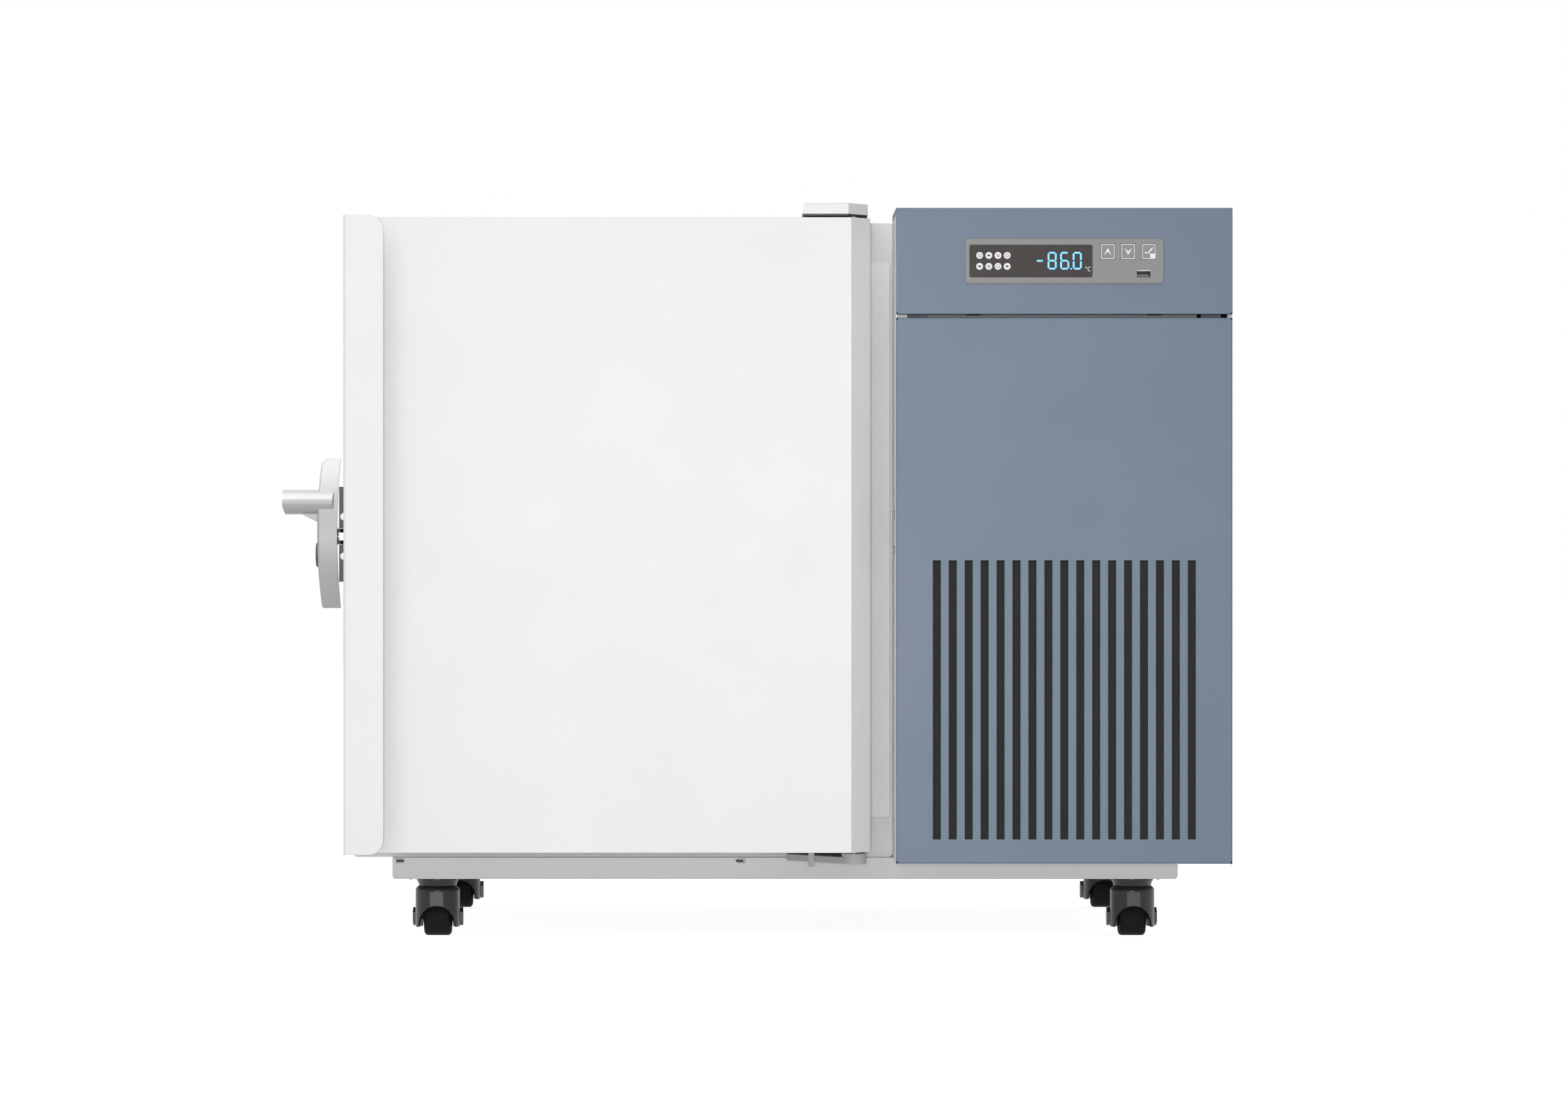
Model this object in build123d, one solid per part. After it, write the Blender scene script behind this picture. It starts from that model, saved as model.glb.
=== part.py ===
from build123d import *
import math
import os

os.makedirs("parts", exist_ok=True)

# Under-counter ultra low temperature freezer on casters: an insulated cabinet with its door
# on the left, and a refrigeration unit with a grille and a control panel on the right.
# Millimetres. X to the right, Y to the back, Z up. The floor is Z = 0, and the origin is
# under the middle of the whole object.

# Main sizes
unit_w = 376.8            # refrigeration unit
unit_d = 729.0            # unit's blue front to its back
cabinet_w = 619.4
cabinet_h = 728.0
hood_rise = 8.0           # blue hood over the cabinet's top
caster_h = 67.0           # floor to the underside of the base frame
base_h = 24.5
bumper_t = 22.0           # spacers on the back that keep the air path open
bezel_proud = 1.5         # control bezel in front of the blue fascia

# Sheet, gaps and fits
skin_t = 1.2              # painted steel of cabinet, door and unit
blue_t = 1.5              # coated sheet of the blue front
fit = 0.05                # radial running clearance of pins, shafts and barrels
seat = 0.3                # gap between two bodies that rest on each other
edge_r = 4.0              # rounded long edges of cabinet skin

# Door
door_t = 102.0
door_setback = 42.0       # door face behind the unit's front
door_lift = 11.0          # door's underside above the base frame
door_side_gap = 27.6      # door's right side to the unit's wall
chamfer_w = 21.7
chamfer_d = 26.0
hinge_in_x = 18.5         # hinge axis from the door's right side
hinge_in_y = 26.0         # hinge axis behind the door's face
tab_in = 51.9             # door's stop tab from the hinge axis
tab_set = 3.0
tab_w = 6.9
tab_t = 2.5
tab_l = 16.0
tab_drop = 15.4
plinth_t = 3.0            # inner panel's sheet
pan_rise = 8.0            # raised middle of the inner panel

# Full-height pull flange on the door's free edge
flange_w = 44.8
flange_t = 2.0
flange_bend_r = 3.0
lip_r = 17.0
flange_foot_w = 24.0

# Chamber
chamber_w = 450.0
chamber_h = 460.0
rear_wall_t = 80.0        # chamber's back to the outside
liner_t = 1.2
throat_d = 30.0           # plastic throat between the face and the steel liner
throat_t = 3.0
frame_t = 3.0             # front frame, proud of the cabinet's face
frame_top_margin = 44.5
frame_low_margin = 45.2
frame_side_margin = 2.5
frame_corner_r = 4.0
frame_lap = 10.0          # how far the front frame laps onto the steel
coil_gap = 7.0            # space round the liner for the evaporator

# Gasket
gasket_t = 12.0
gasket_w = 26.0
gasket_margin = 12.0      # gasket's inner edge outside the chamber's mouth

# Inner doors and shelf
inner_t = 22.0
inner_set = 2.0           # inner doors' front behind the cabinet's face
inner_gap = 2.0
inner_pin_r = 3.0
inner_pin_in = 11.0       # pin's distance from the chamber's side and the inner door's front
inner_pin_l = 9.0
inner_bracket_t = 6.0
shelf_t = 1.5
shelf_lip = 14.0
shelf_slot_l = 70.0
shelf_slot_w = 18.0
shelf_bridge = 30.0       # sheet left between the shelf's slots, end to end
shelf_rib = 44.0          # and side by side
shelf_margin = 12.0       # least sheet round the slots
rail_w = 22.0
rail_d = 6.0
rail_in = 45.0            # rails from the chamber's front and back
rail_margin = 20.0
rail_slot_pitch = 40.0
rail_slot_h = 10.0
clip_d = 16.0
clip_w = 14.0
clip_h = 8.0
pull_r = 9.0              # scooped pull of an inner door
pull_in = 14.0
pull_margin = 60.0
leaf_rim = 22.0           # rim round an inner door's shallow panel
leaf_side = 40.0
leaf_hinge_side = 30.0
leaf_cut = 3.0

# Evaporator
coil_turns = 6
coil_w = 12.0
coil_t = 6.4
coil_r = 14.0

# Access port through the back
port_r = 12.7
port_wall = 3.0
port_rim_r = 26.0
port_rim_t = 3.0
port_x_in = 90.0          # from the chamber's left wall
port_z_up = 120.0         # from the chamber's floor

# Hinges
arm_t = 7.0
arm_r = 14.0
arm_w = 89.0
arm_slant = 58.0          # how far the arm's left end lies behind the hinge axis
hinge_pin_r = 4.5
hinge_pin_in = 20.0
hinge_collar_r = 6.0
hinge_foot_h = 43.0
hinge_foot_t = 6.5
bush_r = 9.0
bush_h = 26.0
arm_lift = 4.0            # upper arm above the door's top
arm_drop = 2.0            # lower arm's underside below the base frame's top, in front of it
arm_boss_gap = 1.6        # collar between the arm's round boss and the door
upper_arm_t = 6.0
upper_foot_d = 74.0
upper_arm_in = 40.0       # upper arm's free corner from the hinge axis
upper_arm_slant = 34.0

# Hinge cover
cover_base_t = 2.2
cover_h = 12.5
cover_wall = 2.0
cover_w = 74.4
cover_set = 3.0           # cover's front behind the door's face
cover_corner_in = 24.9    # front corner from the door's right side
cover_side_in = 2.5
cover_chamfer_d = 30.0
cover_foot_d = 80.0       # cover's length on the cabinet's top
cover_draft = 2.0

# Handle
handle_in_y = 51.0        # pivot behind the door's face
pivot_up = 357.0          # pivot above the door's underside
mount_t = 10.0
mount_floor_t = 5.0       # what is left behind the nut's notch
mount_w = 38.0
mount_up = 56.3
mount_down = 51.3
mount_notch_h = 19.0
lever_up = 88.6
lever_down = 81.3
lever_out = 34.8          # lever's outer face from the door's side, at the pivot
lever_in = 16.0
lever_tip_out = 30.3
lever_tip_in = 12.0
lever_skin_in = 12.0       # inner edge of the lever's front, which hides the mount
lever_skin_tip_in = 9.0
lever_skin_t = 2.2
lever_corner_r = 10.0
lever_toe_r = 3.0
lever_edge_r = 2.5
lever_front = 22.0
lever_rear = 12.0
lever_tip_front = 6.0
lever_tip_rear = 16.0
grip_reach = 74.3         # door's side to the grip's tip
grip_root = 13.4
grip_r = 13.85
grip_up = 39.0
grip_forward = 9.0
grip_flat = 3.0           # bevel under the grip's ends
grip_bevel_h = 9.6
grip_slope = 4.0          # slanting cut on the grip's root
gusset_l = 18.0
gusset_h = 10.0
gusset_t = 9.0
claw_t = 3.0
claw_hub_r = 10.0
claw_half = 7.5
claw_tip = 8.0
claw_gap = 0.6
spindle_r = 6.0
spindle_deep = 8.0        # spindle's outer end inside the lever
spindle_end = 1.5         # its inner end from the door's side
mount_corner_r = 6.0
spindle_nut_af = 15.5
strike_pin_r = 4.0
strike_pin_l = 14.5
strike_in_y = 13.0        # strike pin behind the cabinet's face
strike_plate_t = 2.5
strike_plate_w = 26.0
strike_plate_h = 50.0
lock_drop = 20.7
lock_cap_r = 14.0
lock_r = 9.0
lock_proud = 2.0
lock_barrel_l = 18.0
lock_cap_seat = 1.0
keyway_w = 1.6
keyway_l = 8.0

# Screws
screw_head_r = 4.2
screw_head_t = 2.4
screw_shank_r = 2.0
screw_shank_l = 5.0
handle_screw_rise = 22.4    # above and below the pivot
handle_screw_out = 4.4

# Base frame and casters
base_in_left = 45.8
base_in_right = 49.9
base_front_in = 146.0     # base frame's front behind the unit's front
base_rear_in = 33.0       # base frame's back before the unit's back
rail_wide = 50.0
mid_rail_w = 60.0
base_corner_r = 4.0
base_slot_w = 9.0
base_slot_h = 6.0
base_slot_d = 6.0
base_slot_in = 4.5
base_slot_pitch = 391.0
caster_in = 50.5
caster_trail = 14.0
wheel_r = 21.9
wheel_w = 31.4
wheel_edge_r = 4.6
hub_recess = 1.5
hub_r = 13.0
hub_proud = 1.0
boss_r = 7.0
axle_r = 4.0
fork_r = 25.4
fork_gap = 1.8            # wheel's side to the fork's leg
fork_top = 58.0
fork_shoulder = 52.0
fork_neck_r = 21.6
fork_low = 11.2
fork_leg_half = 13.0
arch_r = 20.1
arch_top = 31.8
arch_rim_r = 24.6         # the arch widens towards the front and the back
arch_bevel_d = 14.0
fork_flat_w = 15.3        # flat in the middle of the fork's front
wheel_room = 2.2
flange_r = 24.4
kingpin_r = 5.0
kingpin_in = 9.0
nut_af = 18.0
nut_t = 7.5

# Blue front
fascia_h = 119.0
panel_gap = 4.2
panel_lift = 1.3          # grille panel's lower edge above the base frame
panel_return = 15.0
blue_edge_r = 1.2
slot_margin = 35.0        # least plain width beside the slots
slot_pitch = 17.85
slot_w = 8.65
slot_h = 312.4
slot_up = 27.3

# Control panel
bezel_w = 222.8
bezel_h = 50.4
bezel_r = 5.0
bezel_drop = 34.6         # hood's top to the bezel's top
window_w = 137.7
window_h = 36.5
window_r = 2.3
window_in = 5.1
window_t = 3.0
window_set = 0.4
key_w = 15.8
key_h = 17.0
key_skirt = 4.2
key_pitch = 22.95
key_first = 152.0         # first key's left side from the bezel's left side
key_drop = 6.0
key_gap = 0.35
key_travel = 0.8
key_r = 1.2
usb_w = 15.2
usb_h = 7.6
usb_left = 192.5
usb_up = 7.1
usb_wall = 0.8
usb_depth = 14.0
usb_tongue_t = 1.4

# Unit interior
wall_slot_l = 57.0
wall_slot_h = 10.0
wall_slot_in = 91.0
wall_slot_up = 372.0
wall_slot_pitch = 39.5
box_w = 250.0
box_h = 74.0
box_d = 96.0
box_tray_t = 1.5
filter_t = 9.0
filter_margin = 8.0
filter_bar = 10.0
condenser_in = 42.0
condenser_side = 30.2     # condenser to the unit's sides
pipe_room = 259.8         # condenser's top to the controller's tray
condenser_sheet = 3.0
condenser_fin_in = 4.0
condenser_t = 52.0
condenser_lift = 24.0
bend_count = 4
bend_tube_r = 4.5
shroud_t = 2.0
shroud_margin = 40.0      # fan opening to the nearest edge of the shroud
shroud_collar = 26.0
fan_tip_gap = 5.0
fan_blades = 5
fan_hub_r = 26.0
fan_hub_l = 24.0
blade_pitch = 28.0
blade_t = 2.2
motor_r = 40.0
motor_l = 46.0
motor_gap = 6.0
motor_shaft_r = 4.0
motor_arm_w = 14.0
motor_arm_t = 4.0
compressor_back_in = 224.0
compressor_r = 82.0
stub_side = 0.634         # place of the pipe stubs, as shares of the pot's radius
stub_front = 0.537
compressor_h = 214.0
compressor_dome = 46.0
seam_r = 86.0
seam_t = 5.0
foot_plate_w = 210.0
foot_plate_d = 150.0
foot_plate_t = 4.0
grommet_r = 14.0
grommet_h = 20.0
pipe_r = 4.0
pipe_bend = 22.0
drier_r = 13.0
drier_l = 96.0
drier_in = 40.0
drier_up = 20.0
run_up = 40.0             # discharge run above the condenser
suction_up = 60.0         # suction run above the discharge run
liquid_up = 50.0
liquid_reach = 130.0
discharge_turn = 90.0
discharge_in = 30.0

# Back of the unit
vent_rows = 12
vent_pitch = 20.0
vent_h = 6.0
vent_w = 110.0
vent_low = 330.0
inlet_w = 86.0
inlet_h = 34.0
inlet_z = 150.0
inlet_body_d = 30.0
inlet_rim = 4.0
inlet_rim_t = 2.5
inlet_socket_w = 27.0
inlet_socket_h = 20.0
inlet_pin_w = 2.0
inlet_pin_h = 8.0
rocker_w = 20.0
rocker_h = 15.0
rocker_pin_r = 2.0
rocker_gap = 0.5
rocker_room = 1.8         # above and below the rocker, which swings out of its recess
rocker_throw = 12.0       # degrees
rocker_pin_in = 3.0
inlet_in = 90.0           # from the unit's right side
bumper_r = 20.0
bumper_in = 70.0

# Places that follow from the sizes
overall_w = grip_reach + cabinet_w + unit_w
x_right = overall_w / 2
x_split = x_right - unit_w
x_left = x_split - cabinet_w
x_unit = (x_split + x_right) / 2
nose_d = door_setback + door_t + gasket_t + frame_t
cabinet_d = unit_d - nose_d
overall_d = bezel_proud + unit_d + bumper_t
y_nose = -overall_d / 2 + bezel_proud
y_back = y_nose + unit_d
y_face = y_back - cabinet_d
y_door = y_nose + door_setback
y_door_back = y_door + door_t
z_deck = caster_h + base_h
z_top = z_deck + cabinet_h
z_hood = z_top + hood_rise
z_door = z_deck + door_lift
x_door = x_split - door_side_gap
x_hinge = x_door - hinge_in_x
y_hinge = y_door + hinge_in_y
x_mid = (x_left + x_split) / 2
z_mid = (z_deck + z_top) / 2
x_ch0 = x_mid - chamber_w / 2
x_ch1 = x_mid + chamber_w / 2
z_ch0 = z_mid - chamber_h / 2
z_ch1 = z_mid + chamber_h / 2
y_liner = y_face + throat_d
y_ch_back = y_back - rear_wall_t
y_handle = y_door + handle_in_y
z_pivot = z_door + pivot_up
z_fascia = z_hood - fascia_h
z_panel0 = z_deck + panel_lift
z_panel1 = z_fascia - panel_gap
base_x0 = x_left + base_in_left
base_x1 = x_right - base_in_right
base_y0 = y_nose + base_front_in
base_y1 = y_back - base_rear_in
caster_x = (base_x0 + caster_in, base_x1 - caster_in)
caster_y = (base_y0 + rail_wide / 2, base_y1 - rail_wide / 2)
floor_t = blue_t
z_floor = z_deck + floor_t
bezel_x0 = x_unit - bezel_w / 2
bezel_z1 = z_hood - bezel_drop
bezel_z0 = bezel_z1 - bezel_h
frame_x0 = x_left + frame_side_margin
frame_x1 = x_split - frame_side_margin
frame_z0 = z_deck + frame_low_margin
frame_z1 = z_top - frame_top_margin
gasket_in = gasket_margin + gasket_w
port_x = x_ch0 + port_x_in
port_z = z_ch0 + port_z_up
z_shelf = z_mid + inner_bracket_t
x_inner_pin = x_ch1 - inner_pin_in
y_inner_pin = y_face + inner_set + inner_pin_in
inner_low0 = z_ch0 + inner_bracket_t + seat
inner_low1 = z_mid - inner_bracket_t / 2 - seat
inner_up0 = z_mid + inner_bracket_t / 2 + seat
inner_up1 = z_ch1 - inner_bracket_t - seat
arm_z0 = z_deck - arm_drop
boss_top = z_door - arm_boss_gap
upper_arm_z = z_top + arm_lift
cover_z0 = z_top + arm_lift
cover_x0 = x_door - cover_side_in - cover_w
strike_y = y_face + strike_in_y
strike_z = z_pivot - claw_half - claw_gap - strike_pin_r
lock_z = z_pivot - lock_drop
slot_count = int((unit_w - 2 * slot_margin) / slot_pitch)
y_cond = y_nose + condenser_in
condenser_w = unit_w - 2 * condenser_side
condenser_h = z_panel1 - pipe_room - z_floor - condenser_lift
shroud_r = min(condenser_w, condenser_h) / 2 - shroud_margin
y_shroud = y_cond + condenser_t
fan_z = z_floor + condenser_lift + condenser_h / 2
y_comp = y_back - compressor_back_in
comp_z0 = z_floor + grommet_h
stub_top = comp_z0 + foot_plate_t + compressor_h - 6
inlet_x = x_right - inlet_in
inlet_cz = z_deck + inlet_z
socket_x = inlet_x - inlet_w / 4 + 2
rocker_x = inlet_x + inlet_w / 4
y_rocker = y_back - rocker_pin_in


def block(x0, x1, y0, y1, z0, z1):
    centre = Pos((x0 + x1) / 2, (y0 + y1) / 2, (z0 + z1) / 2)
    return centre * Box(x1 - x0, y1 - y0, z1 - z0)


def rod_x(r, x0, x1, y, z):
    return Pos((x0 + x1) / 2, y, z) * Rot(0, 90, 0) * Cylinder(r, x1 - x0)


def rod_y(r, y0, y1, x, z):
    return Pos(x, (y0 + y1) / 2, z) * Rot(90, 0, 0) * Cylinder(r, y1 - y0)


def rod_z(r, z0, z1, x, y):
    return Pos(x, y, (z0 + z1) / 2) * Cylinder(r, z1 - z0)


def up_prism(face, z0, z1):
    # an outline in plan, carried up
    return extrude(Pos(0, 0, z0) * face, z1 - z0)


def back_prism(face, y0, y1):
    # an outline seen from the front, carried back
    return extrude(Plane((0, y1, 0), x_dir=(1, 0, 0), z_dir=(0, -1, 0)) * face, y1 - y0)


def side_prism(face, x0, x1):
    # an outline in Y and Z, carried to the right
    return extrude(Plane((x0, 0, 0), x_dir=(0, 1, 0), z_dir=(1, 0, 0)) * face, x1 - x0)


def outline(*points):
    return make_face(Polyline(*points, close=True))


def front_rect(x0, x1, z0, z1, r=0.0):
    middle = Pos((x0 + x1) / 2, (z0 + z1) / 2)
    if r > 0:
        return middle * RectangleRounded(x1 - x0, z1 - z0, r)
    return middle * Rectangle(x1 - x0, z1 - z0)


def hexagon_x(af, x0, x1, y, z):
    bar = extrude(RegularPolygon(af / 2, 6, major_radius=False), x1 - x0)
    return Pos(x0, y, z) * Rot(0, 90, 0) * bar


def group(*solids):
    return Compound(children=list(solids))


# Base and casters

def base_frame():
    outer = front_rect(base_x0, base_x1, caster_h, z_deck)
    body = back_prism(outer, base_y0, base_y1)
    low_edges = body.edges().filter_by(Axis.Y).sort_by(Axis.Z)[:2]
    body = fillet(low_edges, base_corner_r)
    x_cross = x_split - mid_rail_w / 2
    inner_y0 = base_y0 + rail_wide
    inner_y1 = base_y1 - rail_wide
    body -= block(base_x0 + rail_wide, x_cross, inner_y0, inner_y1, caster_h - 1, z_deck + 1)
    body -= block(x_cross + mid_rail_w, base_x1 - rail_wide, inner_y0, inner_y1, caster_h - 1, z_deck + 1)
    for x in (base_x0 + base_slot_in, base_x0 + base_slot_in + base_slot_pitch):
        body -= block(x, x + base_slot_w, base_y0 - 1, base_y0 + base_slot_d, z_deck - base_slot_h, z_deck + 1)
    return body


def caster_mount(x, y):
    # fixed bowl of the swivel head with its kingpin
    rim = caster_h - 1.6
    z_waist = (rim + fork_top) / 2
    curve = ThreePointArc((flange_r, rim), (fork_neck_r + 0.9, z_waist), (fork_neck_r, fork_top + seat))
    low = Polyline(
        (fork_neck_r, fork_top + seat), (kingpin_r, fork_top + seat),
        (kingpin_r, fork_top - kingpin_in), (0, fork_top - kingpin_in),
        (0, caster_h), (flange_r, caster_h), (flange_r, rim),
    )
    face = make_face(curve + low)
    return Pos(x, y, 0) * revolve(Plane.XZ * face, Axis.Z)


def caster_fork(x, y):
    # hooded fork: a turned bell, hollowed for the wheel, with an arch before and behind
    axle_y = caster_trail
    shoulder = ThreePointArc(
        (fork_neck_r, fork_top), (fork_r - 0.9, (fork_top + fork_shoulder) / 2 + 0.6), (fork_r, fork_shoulder)
    )
    rest = Polyline(
        (fork_r, fork_shoulder), (fork_r, fork_low), (0, fork_low), (0, fork_top), (fork_neck_r, fork_top)
    )
    bell = revolve(Plane.XZ * make_face(shoulder + rest), Axis.Z)
    half = wheel_w / 2 + fork_gap
    leg = fork_r
    bell += block(-leg + 4, leg - 4, axle_y - 9, axle_y + 9, fork_low, wheel_r + 14)
    bell -= rod_x(wheel_r + wheel_room, -half, half, axle_y, wheel_r)
    bell -= block(-half, half, -60, 60, 0, wheel_r)
    arch_z = arch_top - arch_r
    arch = rod_y(arch_r, -60, 60, 0, arch_z)
    for way in (-1, 1):
        funnel = Rot(-way * 90, 0, 0) * Cone(arch_r, arch_rim_r, arch_bevel_d)
        arch += Pos(0, way * (fork_r - arch_bevel_d / 2), arch_z) * funnel
    arch -= block(-60, 60, axle_y - fork_leg_half, axle_y + fork_leg_half, -60, 90)
    bell -= arch
    y_flat = math.sqrt(fork_r ** 2 - fork_flat_w ** 2 / 4)
    bell -= block(-fork_r, fork_r, -2 * fork_r, -y_flat, 0, fork_shoulder)
    bell -= rod_z(kingpin_r + fit, fork_top - kingpin_in - 1, fork_top + 1, 0, 0)
    bell -= rod_x(axle_r + 0.02, -60, 60, axle_y, wheel_r)
    legs = leg - 4
    bolt = rod_x(axle_r, -legs, legs, axle_y, wheel_r)
    bolt += hexagon_x(nut_af, legs, legs + nut_t, axle_y, wheel_r)
    bolt += hexagon_x(nut_af, -legs - nut_t, -legs, axle_y, wheel_r)
    return Pos(x, y, 0) * group(bell, bolt)


def caster_wheel(x, y):
    # solid tread with a recessed hub, and a boss on each side that meets the fork
    half = wheel_w / 2
    boss = half + hub_proud
    bore = axle_r + fit
    face = outline(
        (-half, wheel_r), (half, wheel_r), (half, hub_r), (half - hub_recess, hub_r),
        (half - hub_recess, boss_r), (boss, boss_r), (boss, bore), (-boss, bore), (-boss, boss_r),
        (-half + hub_recess, boss_r), (-half + hub_recess, hub_r), (-half, hub_r),
    )
    tread = [v for v in face.vertices() if v.Y > wheel_r - 0.1]
    face = fillet(tread, wheel_edge_r)
    return Pos(x, y + caster_trail, wheel_r) * revolve(face, Axis.X)


# Cabinet

def cabinet_box(inset, y0, y1):
    face = front_rect(
        x_left + inset, x_split - inset, z_deck + inset, z_top - inset, edge_r - inset
    )
    return back_prism(face, y0, y1)


def mouth(margin, y0, y1):
    return block(x_ch0 - margin, x_ch1 + margin, y0, y1, z_ch0 - margin, z_ch1 + margin)


def skin_opening(y0, y1):
    return block(frame_x0 + frame_lap, frame_x1 - frame_lap, y0, y1, frame_z0 + frame_lap, frame_z1 - frame_lap)


def port_hole(extra=0.0):
    return rod_y(port_r + port_wall + extra, y_ch_back - 20, y_back + 20, port_x, port_z)


def cabinet_shell():
    body = cabinet_box(0, y_face, y_back)
    body -= cabinet_box(skin_t, y_face + skin_t, y_back - skin_t)
    body -= skin_opening(y_face - 1, y_face + 2 * skin_t)
    return body - port_hole()


def front_frame():
    plate = back_prism(front_rect(frame_x0, frame_x1, frame_z0, frame_z1, frame_corner_r), y_face - frame_t, y_face)
    throat = mouth(throat_t, y_face - frame_t, y_liner)
    body = plate + throat - mouth(0, y_face - frame_t - 1, y_liner + 1)
    rim = body.faces().filter_by(Axis.Y).sort_by(Axis.Y)[0].outer_wire().edges()
    return fillet(rim, 1.0)


def inner_liner():
    body = mouth(liner_t, y_liner, y_ch_back + liner_t)
    body -= mouth(0, y_liner - 1, y_ch_back)
    return body - port_hole()


def cabinet_foam():
    body = cabinet_box(skin_t, y_face + skin_t, y_back - skin_t)
    body += skin_opening(y_face, y_face + skin_t)
    body -= mouth(throat_t, y_face - 1, y_liner)
    body -= mouth(liner_t + coil_gap, y_liner, y_ch_back + liner_t + coil_gap)
    return body - port_hole()


def evaporator():
    # flat tube wound round the liner, one turn after another, joined along the top
    inner_w = chamber_w + 2 * liner_t
    inner_h = chamber_h + 2 * liner_t
    turn = Pos(x_mid, z_mid) * Rectangle(inner_w + 2 * coil_t, inner_h + 2 * coil_t)
    turn -= Pos(x_mid, z_mid) * Rectangle(inner_w, inner_h)
    first = y_liner + 2 * coil_w
    pitch = (y_ch_back - 2 * coil_w - first) / (coil_turns - 1)
    z0 = z_mid + inner_h / 2
    coil = None
    for n in range(coil_turns):
        y = first + n * pitch
        ring = back_prism(turn, y - coil_w / 2, y + coil_w / 2)
        ring = fillet(ring.edges().filter_by(Axis.Y).filter_by(on_outside), coil_r - coil_t)
        coil = ring if coil is None else coil + ring
        if n:
            x = x_mid + (coil_w * 3 if n % 2 else -coil_w * 3)
            coil += block(x - coil_w / 2, x + coil_w / 2, y - pitch, y, z0, z0 + coil_t)
    return coil


def on_outside(edge):
    return abs(edge.center().X - x_mid) > chamber_w / 2 + liner_t + coil_t / 2


def shelf():
    x0 = x_ch0 + rail_d + 2
    x1 = x_ch1 - rail_d - 2
    y0 = y_liner + 4
    y1 = y_ch_back - 6
    profile = outline(
        (y0, z_shelf), (y1, z_shelf), (y1, z_shelf - shelf_lip), (y1 - shelf_t, z_shelf - shelf_lip),
        (y1 - shelf_t, z_shelf - shelf_t), (y0 + shelf_t, z_shelf - shelf_t),
        (y0 + shelf_t, z_shelf - shelf_lip), (y0, z_shelf - shelf_lip),
    )
    plate = side_prism(profile, x0, x1)
    pitch_x = shelf_slot_l + shelf_bridge
    pitch_y = shelf_slot_w + shelf_rib
    across = int((x1 - x0 - 2 * shelf_margin + shelf_bridge) / pitch_x)
    deep = int((y1 - y0 - 2 * (shelf_margin + shelf_t) + shelf_rib) / pitch_y)
    hole = Rectangle(shelf_slot_l, shelf_slot_w)
    slots = [
        up_prism(place * hole, z_shelf - 2 * shelf_t, z_shelf + 1)
        for place in GridLocations(pitch_x, pitch_y, across, deep)
    ]
    centre = Pos(x_mid, (y0 + y1) / 2, 0)
    for slot in slots:
        plate -= centre * slot
    return plate


def shelf_rails():
    # four slotted strips on the side walls, each with a clip under the shelf
    solids = []
    z0 = z_ch0 + rail_margin
    z1 = z_ch1 - rail_margin
    count = int((z1 - z0 - 2 * rail_margin) / rail_slot_pitch)
    for y in (y_liner + rail_in, y_ch_back - rail_in):
        for wall, way in ((x_ch0, 1), (x_ch1, -1)):
            channel = outline(
                (wall, y - rail_w / 2), (wall + way * rail_d, y - rail_w / 2),
                (wall + way * rail_d, y + rail_w / 2), (wall, y + rail_w / 2),
            )
            strip = up_prism(channel, z0, z1)
            for n in range(count):
                z = z0 + rail_margin + n * rail_slot_pitch
                mid = wall + way * rail_d
                strip -= block(mid - 2, mid + 2, y - rail_w / 5, y + rail_w / 5, z, z + rail_slot_h)
            x0 = wall + way * rail_d
            x1 = wall + way * (rail_d + clip_d)
            z = z_shelf - shelf_t
            clip = block(min(x0, x1), max(x0, x1), y - clip_w / 2, y + clip_w / 2, z - clip_h, z)
            solids += [strip, clip]
    return group(*solids)


# Inner doors: two foam-filled leaves in the throat, hinged on the right


def inner_leaf(z0, z1):
    y0 = y_face + inner_set
    y1 = y0 + inner_t
    x0 = x_ch0 + inner_gap
    r = inner_pin_in - 1
    leaf = outline((x0, y0), (x_inner_pin, y0), (x_inner_pin, y1), (x0, y1))
    leaf += Pos(x_inner_pin, y_inner_pin) * Circle(r)
    leaf += Pos(x_inner_pin, (y_inner_pin + y1) / 2) * Rectangle(4, y1 - y_inner_pin)
    body = up_prism(leaf, z0, z1)
    # shallow panel on the front with a scooped pull at the free edge
    panel_x1 = x_inner_pin - leaf_hinge_side
    body -= block(x0 + leaf_side, panel_x1, y0 - 1, y0 + leaf_cut, z0 + leaf_rim, z1 - leaf_rim)
    body -= rod_z(pull_r, z0 + pull_margin, z1 - pull_margin, x0 + pull_in, y0 - 2)
    body -= rod_z(inner_pin_r + fit, z0 - 1, z0 + inner_pin_l + 1, x_inner_pin, y_inner_pin)
    body -= rod_z(inner_pin_r + fit, z1 - inner_pin_l - 1, z1 + 1, x_inner_pin, y_inner_pin)
    return body


def inner_hinges():
    # three plates on the throat's right wall, with pins for the two leaves
    solids = []
    for z, up, down in ((z_ch0, True, False), (z_mid - inner_bracket_t / 2, True, True),
                        (z_ch1 - inner_bracket_t, False, True)):
        reach = inner_pin_in - inner_pin_r
        plate = block(x_inner_pin - reach, x_ch1, y_inner_pin - reach, y_inner_pin + reach, z, z + inner_bracket_t)
        z1 = z + inner_bracket_t
        if up:
            plate += rod_z(inner_pin_r, z1, z1 + inner_pin_l, x_inner_pin, y_inner_pin)
        if down:
            plate += rod_z(inner_pin_r, z - inner_pin_l, z, x_inner_pin, y_inner_pin)
        solids.append(plate)
    return group(*solids)


def port_sleeve():
    body = rod_y(port_r + port_wall, y_ch_back, y_back, port_x, port_z)
    body += rod_y(port_rim_r, y_back, y_back + port_rim_t, port_x, port_z)
    return body - rod_y(port_r, y_ch_back - 1, y_back + 20, port_x, port_z)


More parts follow.
